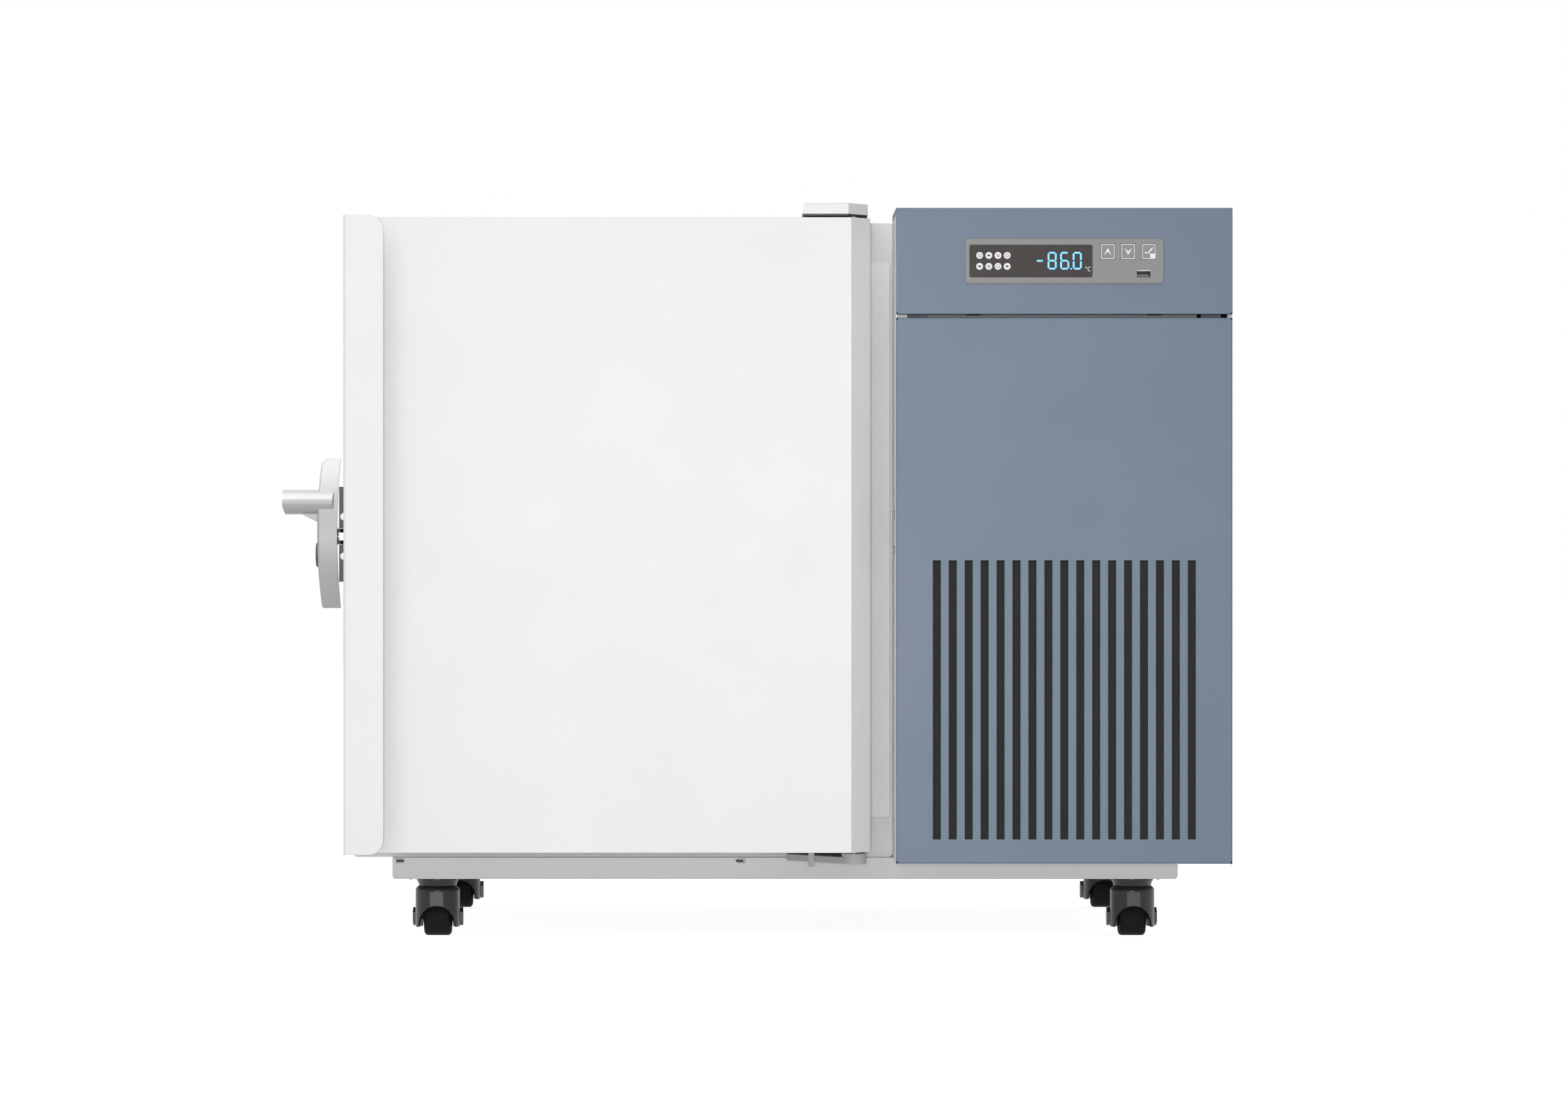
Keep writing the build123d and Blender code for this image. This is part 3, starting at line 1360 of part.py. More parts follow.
def handle_lever():
    room = 2 * mount_w
    bow = back_prism(lever_front_outline(lever_in, lever_tip_in), y_handle - room, y_handle + room)
    bow &= side_prism(lever_side_outline(0), x_left - room, x_left)
    outer = bow.edges().filter_by(lambda e: e.length > lever_up and e.center().X < x_left - lever_tip_out)
    bow = fillet(outer, lever_edge_r)
    skin = back_prism(lever_front_outline(lever_skin_in, lever_skin_tip_in), y_handle - room, y_handle + room)
    skin &= side_prism(lever_side_outline(lever_skin_t), x_left - lever_tip_out + lever_corner_r, x_left)
    bow += skin
    y_grip = y_handle - grip_forward
    z_grip = z_pivot + grip_up
    grip = rod_x(grip_r, x_left - grip_reach, x_left - grip_root, y_grip, z_grip)
    low = z_grip - grip_r
    for x, way in ((x_left - grip_reach, 1), (x_left - grip_root, -1)):
        bevel = outline(
            (x - way, low - 1), (x + way * grip_flat, low - 1), (x, low + grip_bevel_h), (x - way, low + grip_bevel_h)
        )
        grip -= back_prism(bevel, y_grip - 2 * grip_r, y_grip + 2 * grip_r)
    x_root = x_left - grip_root
    slant = outline(
        (x_root - grip_slope, y_grip - grip_r), (x_root - grip_slope, y_grip - grip_r - 1),
        (x_root + 1, y_grip - grip_r - 1), (x_root + 1, y_grip), (x_root, y_grip),
    )
    grip -= up_prism(slant, z_grip - 2 * grip_r, z_grip + 2 * grip_r)
    x1 = x_left - lever_out + 2
    gusset = outline(
        (x1, z_grip - grip_r + 2), (x1 - gusset_l - 2, z_grip - grip_r + 2),
        (x1 - gusset_l - 2, z_grip - grip_r), (x1, z_grip - grip_r - gusset_h),
    )
    body = bow + grip + back_prism(gusset, y_grip - gusset_t / 2, y_grip + gusset_t / 2)
    y_rim = y_handle
    body -= rod_x(lock_r + fit, x_left - lever_out - 5, x_left - lever_out + lock_barrel_l + 1, y_rim - 4, lock_z)
    body -= rod_x(lock_cap_r + 0.3, x_left - lever_out - 5, x_left - lever_out + lock_cap_seat, y_rim - 4, lock_z)
    return body - rod_x(spindle_r, x_left - lever_out + spindle_deep, x_left + 1, y_handle, z_pivot)


def lock_cylinder():
    x1 = x_left - lever_out + lock_cap_seat - 0.3
    cap = rod_x(lock_cap_r, x_left - lever_out - lock_proud, x1, y_handle - 4, lock_z)
    cap = fillet(cap.edges().group_by(Axis.X)[0], 1.2)
    cap += rod_x(lock_r, x1, x_left - lever_out + lock_barrel_l, y_handle - 4, lock_z)
    x0 = x_left - lever_out - lock_proud
    return cap - block(x0 - 1, x0 + 5, y_handle - 4 - keyway_w / 2, y_handle - 4 + keyway_w / 2,
                       lock_z - keyway_l / 2, lock_z + keyway_l / 2)


def latch_claw():
    # spindle, hub with its nut, and the hook that goes over the strike
    x1 = x_left - mount_t - seat
    x0 = x1 - claw_t
    tip_y = strike_y + strike_pin_r + claw_tip
    hook = outline(
        (y_handle, z_pivot + claw_half), (strike_y, z_pivot + claw_half + 3), (tip_y, z_pivot + claw_half - 2),
        (tip_y, z_pivot - claw_half), (y_handle, z_pivot - claw_half),
    )
    hook -= Pos(strike_y, z_pivot - claw_half - 1.6) * Circle(strike_pin_r + 1.4)
    hook += Pos(y_handle, z_pivot) * Circle(claw_hub_r)
    body = side_prism(hook, x0, x1)
    body += hexagon_x(spindle_nut_af, x_left - lever_in + seat, x0, y_handle, z_pivot)
    body += hexagon_x(spindle_nut_af, x1, x_left - mount_floor_t - seat, y_handle, z_pivot)
    return body + rod_x(spindle_r, x_left - lever_out + spindle_deep, x_left - spindle_end, y_handle, z_pivot)


parts = {
    "base_frame": base_frame(),
    "caster_mounts": group(*[caster_mount(x, y) for x in caster_x for y in caster_y]),
    "cabinet_shell": cabinet_shell(),
    "front_frame": front_frame(),
    "inner_liner": inner_liner(),
    "cabinet_foam": cabinet_foam(),
    "evaporator": evaporator(),
    "shelf": shelf(),
    "shelf_rails": shelf_rails(),
    "inner_door_upper": inner_leaf(inner_up0, inner_up1),
    "inner_door_lower": inner_leaf(inner_low0, inner_low1),
    "inner_hinges": inner_hinges(),
    "port_sleeve": port_sleeve(),
    "port_plug": port_plug(),
    "hinge_brackets": hinge_brackets(),
    "hinge_pins": hinge_pins(),
    "hinge_cover": hinge_cover(),
    "hinge_cover_base": hinge_cover_base(),
    "latch_strike": latch_strike(),
    "unit_left_panel": unit_left_panel(),
    "unit_wrap": unit_wrap(),
    "unit_rear_panel": unit_rear_panel(),
    "unit_floor": unit_floor(),
    "control_hood": control_hood(),
    "grille_panel": grille_panel(),
    "display_bezel": display_bezel(),
    "display_window": display_window(),
    "key_up": key(0),
    "key_down": key(1),
    "key_set": key(2),
    "usb_socket": usb_socket(),
    "controller_box": controller_box(),
    "air_filter": air_filter(),
    "condenser": condenser(),
    "fan_shroud": fan_shroud(),
    "fan_motor": fan_motor(),
    "fan_blade": fan_blade(),
    "compressor": compressor(),
    "refrigerant_lines": refrigerant_lines(),
    "mains_inlet": mains_inlet(),
    "power_switch": power_switch(),
    "rubber_pads": rubber_pads(),
    "door_shell": door_shell(),
    "door_foam": door_foam(),
    "door_inner_panel": door_inner_panel(),
    "pull_flange": pull_flange(),
    "gasket": gasket(),
    "door_fittings": door_fittings(),
    "handle_mount": handle_mount(),
    "handle_lever": handle_lever(),
    "latch_claw": latch_claw(),
    "lock_cylinder": lock_cylinder(),
}
for end, y in zip(("front", "rear"), caster_y):
    for side, x in zip(("left", "right"), caster_x):
        parts[f"fork_{end}_{side}"] = caster_fork(x, y)
        parts[f"wheel_{end}_{side}"] = caster_wheel(x, y)

for name, shape in parts.items():
    export_step(shape, f"parts/{name}.step")
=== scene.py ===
import math

import bpy
import numpy as np
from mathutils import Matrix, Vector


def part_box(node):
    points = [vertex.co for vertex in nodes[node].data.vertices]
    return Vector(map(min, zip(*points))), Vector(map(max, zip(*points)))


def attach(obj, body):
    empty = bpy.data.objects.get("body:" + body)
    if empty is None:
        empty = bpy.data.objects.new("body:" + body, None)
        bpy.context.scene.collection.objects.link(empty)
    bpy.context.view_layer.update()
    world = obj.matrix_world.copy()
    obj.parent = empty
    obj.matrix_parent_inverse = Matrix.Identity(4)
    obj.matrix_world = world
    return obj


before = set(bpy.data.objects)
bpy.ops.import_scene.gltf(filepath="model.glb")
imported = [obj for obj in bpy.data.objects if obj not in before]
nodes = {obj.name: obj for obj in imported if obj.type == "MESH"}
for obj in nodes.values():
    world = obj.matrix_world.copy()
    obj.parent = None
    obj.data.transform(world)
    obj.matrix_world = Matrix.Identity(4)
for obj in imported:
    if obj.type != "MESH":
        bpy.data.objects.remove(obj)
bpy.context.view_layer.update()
print("frame loaded:", len(nodes), "nodes")


# ---- camera: level, a long lens, as far off as the photograph's own perspective says
cameraValues = {
    "photoWidth": 2296,
    "focalPixels": 8105.0,      # lens length in pixels of the photograph
    "distance": 6.200,          # from the blue front
    "eyeHeight": 0.4467,
    "sideways": -0.01311,
    "vanishX": 1088.0,          # where receding lines meet
    "vanishY": 802.0,
    "middleY": 807.5,
}


def placeCamera(v):
    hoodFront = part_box("control_hood")[0][1]
    cameraData = bpy.data.cameras.new("photoCamera")
    cameraData.sensor_width = 36.0
    cameraData.lens = v["focalPixels"] / v["photoWidth"] * 36.0
    cameraData.shift_x = (v["photoWidth"] / 2 - v["vanishX"]) / v["photoWidth"]
    cameraData.shift_y = (v["vanishY"] - v["middleY"]) / v["photoWidth"]
    cameraData.clip_end = 100.0
    camera = bpy.data.objects.new("photoCamera", cameraData)
    camera.location = (v["sideways"], hoodFront - v["distance"], v["eyeHeight"])
    camera.rotation_euler = (math.radians(90), 0, 0)
    bpy.context.scene.collection.objects.link(camera)
    bpy.context.scene.camera = camera


placeCamera(cameraValues)


# ---- light: a frontal lamp beside the camera, wide soft ones at upper left and overhead, and a plain sky
lightValues = {
    "frontPlace": (-0.06, -7.5, 0.45), "frontSize": 0.5, "frontPower": 113.0,
    "keyPlace": (-1.9, -4.6, 3.1), "keySize": 2.6, "keyPower": 46.0,
    "topPlace": (0.0, -2.0, 4.2), "topSize": 3.0, "topPower": 43.0,
    "aim": (0.0, 0.0, 0.42),
    "skyStrength": 0.335,
    "floorReach": 14.0, "floorGlow": 0.85,
    "floorColour": (0.86, 0.86, 0.86, 1.0),
}


def addLamp(name, place, size, power):
    lamp = bpy.data.lights.new(name, "AREA")
    lamp.shape = "SQUARE"
    lamp.size = size
    lamp.energy = power
    lampObject = bpy.data.objects.new(name, lamp)
    lampObject.location = place
    aim = np.array(lightValues["aim"]) - np.array(place)
    flat = math.hypot(aim[0], aim[1])
    tilt, heading = math.atan2(aim[2], flat), math.atan2(aim[1], aim[0])
    lampObject.rotation_euler = (math.pi / 2 + tilt, 0, heading - math.pi / 2)
    bpy.context.scene.collection.objects.link(lampObject)


def seenDirectly(tree):
    # 1 for rays from the camera, mirrors and glass, 0 for light that falls on the object
    path = tree.nodes.new("ShaderNodeLightPath")
    first = tree.nodes.new("ShaderNodeMath")
    first.operation = "MAXIMUM"
    tree.links.new(path.outputs["Is Camera Ray"], first.inputs[0])
    tree.links.new(path.outputs["Is Glossy Ray"], first.inputs[1])
    second = tree.nodes.new("ShaderNodeMath")
    second.operation = "MAXIMUM"
    tree.links.new(first.outputs[0], second.inputs[0])
    tree.links.new(path.outputs["Is Transmission Ray"], second.inputs[1])
    return second.outputs[0]


def makeSky(v):
    world = bpy.data.worlds.new("plainSky")
    world.use_nodes = True
    tree = world.node_tree
    tree.nodes.clear()
    out = tree.nodes.new("ShaderNodeOutputWorld")
    lit = tree.nodes.new("ShaderNodeBackground")
    lit.inputs["Color"].default_value = (1, 1, 1, 1)
    lit.inputs["Strength"].default_value = v["skyStrength"]
    white = tree.nodes.new("ShaderNodeBackground")
    white.inputs["Color"].default_value = (1, 1, 1, 1)
    white.inputs["Strength"].default_value = 1.0
    mix = tree.nodes.new("ShaderNodeMixShader")
    tree.links.new(seenDirectly(tree), mix.inputs[0])
    tree.links.new(lit.outputs[0], mix.inputs[1])
    tree.links.new(white.outputs[0], mix.inputs[2])
    tree.links.new(mix.outputs[0], out.inputs["Surface"])
    bpy.context.scene.world = world


def makeFloor(v):
    # a flat floor that stays white to the camera but keeps the soft shadow under the object
    mesh = bpy.data.meshes.new("studioFloor")
    reach = v["floorReach"]
    corners = [(-reach, -reach, 0), (reach, -reach, 0), (reach, reach, 0), (-reach, reach, 0)]
    mesh.from_pydata(corners, [], [(0, 1, 2, 3)])
    floor = bpy.data.objects.new("studioFloor", mesh)
    bpy.context.scene.collection.objects.link(floor)
    material = bpy.data.materials.new("studioFloor")
    material.use_nodes = True
    tree = material.node_tree
    tree.nodes.clear()
    out = tree.nodes.new("ShaderNodeOutputMaterial")
    matt = tree.nodes.new("ShaderNodeBsdfDiffuse")
    matt.inputs["Color"].default_value = v["floorColour"]
    glow = tree.nodes.new("ShaderNodeEmission")
    glow.inputs["Color"].default_value = (1, 1, 1, 1)
    glow.inputs["Strength"].default_value = v["floorGlow"]
    both = tree.nodes.new("ShaderNodeAddShader")
    tree.links.new(matt.outputs[0], both.inputs[0])
    tree.links.new(glow.outputs[0], both.inputs[1])
    mix = tree.nodes.new("ShaderNodeMixShader")
    tree.links.new(seenDirectly(tree), mix.inputs[0])
    tree.links.new(matt.outputs[0], mix.inputs[1])
    tree.links.new(both.outputs[0], mix.inputs[2])
    tree.links.new(mix.outputs[0], out.inputs["Surface"])
    mesh.materials.append(material)


for lampName in ("front", "key", "top"):
    addLamp(lampName + "Lamp", lightValues[lampName + "Place"], lightValues[lampName + "Size"],
            lightValues[lampName + "Power"])
makeSky(lightValues)
makeFloor(lightValues)
bpy.context.scene.view_settings.view_transform = "Standard"
print("camera, lamps and floor ready")


# ---- shared surface effects, each a node group that puts out masks, values or a normal
def newGroup(name, inputs, outputs):
    group = bpy.data.node_groups.new(name, "ShaderNodeTree")
    for label, kind, value in inputs:
        socket = group.interface.new_socket(label, in_out="INPUT", socket_type=kind)
        socket.default_value = value
    for label, kind in outputs:
        group.interface.new_socket(label, in_out="OUTPUT", socket_type=kind)
    return group, group.nodes.new("NodeGroupInput"), group.nodes.new("NodeGroupOutput")


def mathNode(tree, operation, a, b=None):
    node = tree.nodes.new("ShaderNodeMath")
    node.operation = operation
    for slot, value in enumerate((a, b)):
        if value is None:
            continue
        if isinstance(value, (int, float)):
            node.inputs[slot].default_value = value
        else:
            tree.links.new(value, node.inputs[slot])
    return node.outputs[0]


def rangeNode(tree, value, low, high, toLow, toHigh):
    node = tree.nodes.new("ShaderNodeMapRange")
    tree.links.new(value, node.inputs["Value"])
    node.inputs["From Min"].default_value = low
    node.inputs["From Max"].default_value = high
    node.inputs["To Min"].default_value = toLow
    node.inputs["To Max"].default_value = toHigh
    return node.outputs["Result"]


def noiseNode(tree, vector, scale, detail=2.0):
    node = tree.nodes.new("ShaderNodeTexNoise")
    tree.links.new(vector, node.inputs["Vector"])
    if isinstance(scale, (int, float)):
        node.inputs["Scale"].default_value = scale
    else:
        tree.links.new(scale, node.inputs["Scale"])
    node.inputs["Detail"].default_value = detail
    return node.outputs["Fac"]


def groupNode(tree, group, **values):
    node = tree.nodes.new("ShaderNodeGroup")
    node.node_tree = group
    for label, value in values.items():
        node.inputs[label].default_value = value
    return node


def mixColour(tree, factor, a, b):
    node = tree.nodes.new("ShaderNodeMix")
    node.data_type = "RGBA"
    tree.links.new(factor, node.inputs["Factor"])
    tree.links.new(a, node.inputs["A"])
    node.inputs["B"].default_value = (*b, 1)
    return node.outputs["Result"]


def normalHeight(tree):
    # how far a face looks up: 1 for a floor, 0 for a wall
    geometry = tree.nodes.new("ShaderNodeNewGeometry")
    parts = tree.nodes.new("ShaderNodeSeparateXYZ")
    tree.links.new(geometry.outputs["Normal"], parts.inputs[0])
    return parts.outputs["Z"]


def makeEdgeGroup():
    # rounded edge normal, and a mask of where it differs from the flat face: bright on worn edges
    group, source, sink = newGroup(
        "edgeWear",
        [("Radius", "NodeSocketFloat", 0.0008), ("Amount", "NodeSocketFloat", 1.0)],
        [("Mask", "NodeSocketFloat"), ("Normal", "NodeSocketVector")],
    )
    bevel = group.nodes.new("ShaderNodeBevel")
    bevel.samples = 4
    group.links.new(source.outputs["Radius"], bevel.inputs["Radius"])
    geometry = group.nodes.new("ShaderNodeNewGeometry")
    dot = group.nodes.new("ShaderNodeVectorMath")
    dot.operation = "DOT_PRODUCT"
    group.links.new(bevel.outputs["Normal"], dot.inputs[0])
    group.links.new(geometry.outputs["Normal"], dot.inputs[1])
    away = mathNode(group, "SUBTRACT", 1.0, dot.outputs["Value"])
    sharp = mathNode(group, "MULTIPLY", away, 5.0)
    coords = group.nodes.new("ShaderNodeTexCoord")
    patchy = rangeNode(group, noiseNode(group, coords.outputs["Object"], 55.0, 3.0), 0.35, 0.7, 0.0, 1.0)
    worn = mathNode(group, "MULTIPLY", mathNode(group, "MINIMUM", sharp, 1.0), patchy)
    group.links.new(mathNode(group, "MULTIPLY", worn, source.outputs["Amount"]), sink.inputs["Mask"])
    group.links.new(bevel.outputs["Normal"], sink.inputs["Normal"])
    return group


def makeFinishGroup():
    # colour drift over decimetres, roughness smears over centimetres, and a fine grain for the bump
    group, source, sink = newGroup(
        "surfaceFinish",
        [("Colour", "NodeSocketColor", (0.8, 0.8, 0.8, 1)), ("Drift", "NodeSocketFloat", 0.03),
         ("Rough", "NodeSocketFloat", 0.4), ("Smear", "NodeSocketFloat", 0.08),
         ("Grain", "NodeSocketFloat", 900.0), ("Dust", "NodeSocketFloat", 0.04)],
        [("Colour", "NodeSocketColor"), ("Roughness", "NodeSocketFloat"), ("Height", "NodeSocketFloat")],
    )
    coords = group.nodes.new("ShaderNodeTexCoord")
    place = coords.outputs["Object"]
    wide = noiseNode(group, place, 3.2, 2.0)
    shade = mathNode(group, "MULTIPLY", mathNode(group, "SUBTRACT", wide, 0.5), source.outputs["Drift"])
    level = mathNode(group, "ADD", 1.0, mathNode(group, "MULTIPLY", shade, 2.0))
    scaled = group.nodes.new("ShaderNodeVectorMath")
    scaled.operation = "SCALE"
    group.links.new(source.outputs["Colour"], scaled.inputs[0])
    group.links.new(level, scaled.inputs["Scale"])
    # dust settles on faces that look up
    up = rangeNode(group, normalHeight(group), 0.6, 1.0, 0.0, 1.0)
    cloud = rangeNode(group, noiseNode(group, place, 26.0, 4.0), 0.4, 0.75, 0.2, 1.0)
    dust = mathNode(group, "MULTIPLY", mathNode(group, "MULTIPLY", up, cloud), source.outputs["Dust"])
    dusty = mixColour(group, dust, scaled.outputs["Vector"], (0.58, 0.57, 0.55))
    group.links.new(dusty, sink.inputs["Colour"])
    smear = mathNode(group, "SUBTRACT", noiseNode(group, place, 14.0, 4.0), 0.5)
    smeared = mathNode(group, "MULTIPLY", smear, source.outputs["Smear"])
    rough = mathNode(group, "ADD", source.outputs["Rough"], smeared)
    rough = mathNode(group, "ADD", rough, mathNode(group, "MULTIPLY", dust, 0.5))
    group.links.new(rough, sink.inputs["Roughness"])
    grain = noiseNode(group, place, source.outputs["Grain"], 1.0)
    group.links.new(grain, sink.inputs["Height"])
    return group


def makePaintedSheenGroup():
    # painted sheen: a mask that is 0 on faces that look level or down and 1 on those that look up, where the
    # colour is lightened like satin metal under a bright ceiling
    group, source, sink = newGroup(
        "paintedUpSheen",
        [("Low", "NodeSocketFloat", 0.03), ("High", "NodeSocketFloat", 0.36)],
        [("Mask", "NodeSocketFloat")],
    )
    ramp = group.nodes.new("ShaderNodeMapRange")
    ramp.interpolation_type = "SMOOTHSTEP"
    group.links.new(normalHeight(group), ramp.inputs["Value"])
    group.links.new(source.outputs["Low"], ramp.inputs["From Min"])
    group.links.new(source.outputs["High"], ramp.inputs["From Max"])
    group.links.new(ramp.outputs["Result"], sink.inputs["Mask"])
    return group


def makeBrushGroup():
    # long fine scratches along X, from a noise stretched sixty times
    group, source, sink = newGroup(
        "brushedLines",
        [("Scale", "NodeSocketFloat", 1.0)],
        [("Lines", "NodeSocketFloat")],
    )
    coords = group.nodes.new("ShaderNodeTexCoord")
    mapping = group.nodes.new("ShaderNodeMapping")
    mapping.inputs["Scale"].default_value = (12.0, 700.0, 700.0)
    group.links.new(coords.outputs["Object"], mapping.inputs["Vector"])
    lines = noiseNode(group, mapping.outputs["Vector"], source.outputs["Scale"], 2.0)
    group.links.new(lines, sink.inputs["Lines"])
    return group


edgeGroup = makeEdgeGroup()
finishGroup = makeFinishGroup()
brushGroup = makeBrushGroup()
paintedSheenGroup = makePaintedSheenGroup()


def makeFinish(name, v):
    # one Principled surface: finish group for colour and roughness, edge group for wear and the rounded edge,
    # and a painted sheen on faces that look up where a sheen colour is given
    material = bpy.data.materials.new(name)
    material.use_nodes = True
    tree = material.node_tree
    shader = tree.nodes["Principled BSDF"]
    finish = groupNode(tree, finishGroup, Colour=(*v["colour"], 1), Drift=v.get("drift", 0.02),
                       Rough=v["rough"], Smear=v.get("smear", 0.06), Grain=v.get("grain", 900.0), Dust=0.05)
    edge = groupNode(tree, edgeGroup, Radius=v.get("edge", 0.0008), Amount=v.get("wear", 0.25))
    base = mixColour(tree, edge.outputs["Mask"], finish.outputs["Colour"], v.get("wornColour", v["colour"]))
    # painted sheen: faces that look up are mixed towards a lighter colour
    if "paintedSheenColour" in v:
        base = mixColour(tree, groupNode(tree, paintedSheenGroup).outputs["Mask"], base, v["paintedSheenColour"])
    tree.links.new(base, shader.inputs["Base Color"])
    tree.links.new(finish.outputs["Roughness"], shader.inputs["Roughness"])
    height = finish.outputs["Height"]
    if v.get("brushed"):
        height = mathNode(tree, "ADD", height, groupNode(tree, brushGroup).outputs["Lines"])
    bump = tree.nodes.new("ShaderNodeBump")
    bump.inputs["Distance"].default_value = v.get("bumpDepth", 0.00004)
    bump.inputs["Strength"].default_value = v.get("bump", 0.25)
    tree.links.new(height, bump.inputs["Height"])
    tree.links.new(edge.outputs["Normal"], bump.inputs["Normal"])
    tree.links.new(bump.outputs["Normal"], shader.inputs["Normal"])
    shader.inputs["Metallic"].default_value = v.get("metal", 0.0)
    shader.inputs["Specular IOR Level"].default_value = v.get("gloss", 0.5)
    if "glow" in v:
        shader.inputs["Emission Color"].default_value = (*v["glow"], 1)
        shader.inputs["Emission Strength"].default_value = v["glowStrength"]
    return material


# ---- finishes, one row for each; what is printed shares its grain and thin edge
printed = {"grain": 3000.0, "bump": 0.05, "edge": 0.0001, "wear": 0.0}
finishes = {
    "doorWhite": {"colour": (0.87, 0.87, 0.87), "rough": 0.38, "wear": 0.1, "grain": 700.0, "bump": 0.12},
    "cabinetGrey": {"colour": (0.83, 0.83, 0.825), "rough": 0.42, "wear": 0.15, "grain": 700.0, "bump": 0.15},
    "unitGrey": {"colour": (0.86, 0.86, 0.855), "rough": 0.42, "wear": 0.15, "grain": 700.0, "bump": 0.15},
    "tabGrey": {"colour": (0.30, 0.30, 0.295), "rough": 0.45, "wear": 0.4, "grain": 900.0, "bump": 0.2,
                "wornColour": (0.5, 0.5, 0.5)},
    "frameGrey": {"colour": (0.69, 0.69, 0.68), "rough": 0.42, "wear": 0.15, "grain": 700.0, "bump": 0.15},
    "hingeGrey": {"colour": (0.42, 0.42, 0.415), "rough": 0.5, "wear": 0.2, "grain": 700.0, "bump": 0.15},
    "unitBlue": {"colour": (0.123, 0.168, 0.245), "rough": 0.4, "wear": 0.2, "grain": 800.0, "bump": 0.18,
                 "edge": 0.0015, "wornColour": (0.3, 0.35, 0.43)},
    "mouldedWhite": {"colour": (0.84, 0.84, 0.83), "rough": 0.33, "grain": 1400.0, "bump": 0.1},
    "mouldedGrey": {"colour": (0.93, 0.93, 0.92), "rough": 0.4, "grain": 1200.0, "bump": 0.15},
    "mouldedBlack": {"colour": (0.018, 0.018, 0.018), "rough": 0.4, "grain": 1500.0, "bump": 0.3},
    "bezelGrey": {"colour": (0.25, 0.25, 0.25), "rough": 0.45, "grain": 2200.0, "bump": 0.35, "wear": 0.3,
                  "wornColour": (0.42, 0.42, 0.42)},
    "windowTint": {"colour": (0.06, 0.051, 0.048), "rough": 0.1, "smear": 0.05, "bump": 0.02, "gloss": 0.3,
                   "drift": 0.01, "wear": 0.05},
    "keyGrey": {"colour": (0.245, 0.245, 0.245), "rough": 0.42, "grain": 2600.0, "bump": 0.3},
    "printWhite": {"colour": (0.85, 0.85, 0.85), "rough": 0.35, **printed},
    "printSilver": {"colour": (0.8, 0.8, 0.8), "rough": 0.4, **printed},
    "readoutBlue": {"colour": (0.12, 0.42, 0.75), "rough": 0.3, **printed,
                    "glow": (0.14, 0.56, 0.95), "glowStrength": 0.75},
    "readoutDim": {"colour": (0.06, 0.052, 0.049), "rough": 0.12, "gloss": 0.3, **printed},
    # painted sheen: the handle's faces that look up are lightened from 0.4 to 0.82
    "handleGrey": {"colour": (0.4, 0.4, 0.4), "paintedSheenColour": (0.82, 0.82, 0.82), "rough": 0.4, "metal": 0.2,
                   "grain": 1500.0, "bump": 0.12},
    "handleDark": {"colour": (0.045, 0.045, 0.045), "rough": 0.45, "grain": 1800.0, "bump": 0.3},
    "casterBlack": {"colour": (0.008, 0.008, 0.008), "rough": 0.3, "gloss": 0.4, "grain": 2000.0,
                    "bump": 0.15, "wornColour": (0.05, 0.05, 0.05), "edge": 0.0006},
    "tyreBlack": {"colour": (0.013, 0.013, 0.013), "rough": 0.7, "gloss": 0.12, "grain": 2600.0, "bump": 0.4},
    "softBlack": {"colour": (0.02, 0.02, 0.02), "rough": 0.7, "grain": 1500.0, "bump": 0.5},
    "sealGrey": {"colour": (0.50, 0.50, 0.49), "rough": 0.55, "grain": 1800.0, "bump": 0.3},
    "filterBlack": {"colour": (0.012, 0.012, 0.012), "rough": 0.9, "grain": 420.0, "bump": 1.0,
                    "bumpDepth": 0.0006},
    "rigidFoam": {"colour": (0.75, 0.68, 0.45), "rough": 0.85, "grain": 500.0, "bump": 0.6},
    "stainless": {"colour": (0.56, 0.56, 0.57), "rough": 0.3, "metal": 1.0, "brushed": True, "bump": 0.2},
    "zincPlate": {"colour": (0.37, 0.375, 0.38), "rough": 0.42, "metal": 0.6, "drift": 0.08, "grain": 300.0},
    "brightChrome": {"colour": (0.55, 0.55, 0.56), "rough": 0.16, "metal": 1.0, "smear": 0.04, "bump": 0.03},
    "plainAluminium": {"colour": (0.62, 0.63, 0.64), "rough": 0.36, "metal": 1.0, "brushed": True},
    "copperTube": {"colour": (0.72, 0.38, 0.24), "rough": 0.3, "metal": 1.0, "drift": 0.12},
    "slotShade": {"colour": (0.07, 0.075, 0.075), "rough": 0.6, "gloss": 0.2, "wear": 0.0},
    "screwBright": {"colour": (0.88, 0.88, 0.89), "rough": 0.3, "metal": 0.15, "smear": 0.04, "bump": 0.03},
    "socketDark": {"colour": (0.075, 0.066, 0.066), "rough": 0.45, "gloss": 0.3, "wear": 0.1},
    "socketFloor": {"colour": (0.6, 0.58, 0.58), "rough": 0.5, "gloss": 0.3, "wear": 0.0},
    "jointLight": {"colour": (0.56, 0.56, 0.55), "rough": 0.5, "wear": 0.0},
    # painted shade: the joint's fill tone here and its black tone below stand for the shade in the panel
    # joint and the corner holes
    "jointShadeFill": {"colour": (0.145, 0.158, 0.158), "rough": 0.5, "gloss": 0.2, "wear": 0.0},
    "jointDark": {"colour": (0.085, 0.085, 0.108), "rough": 0.5, "gloss": 0.2, "wear": 0.0},
    "jointBlack": {"colour": (0.003, 0.003, 0.003), "rough": 0.8, "gloss": 0.0, "wear": 0.0},
    "motorBlack": {"colour": (0.02, 0.02, 0.022), "rough": 0.35, "grain": 500.0, "bump": 0.4},
}
surfaces = {name: makeFinish(name, values) for name, values in finishes.items()}

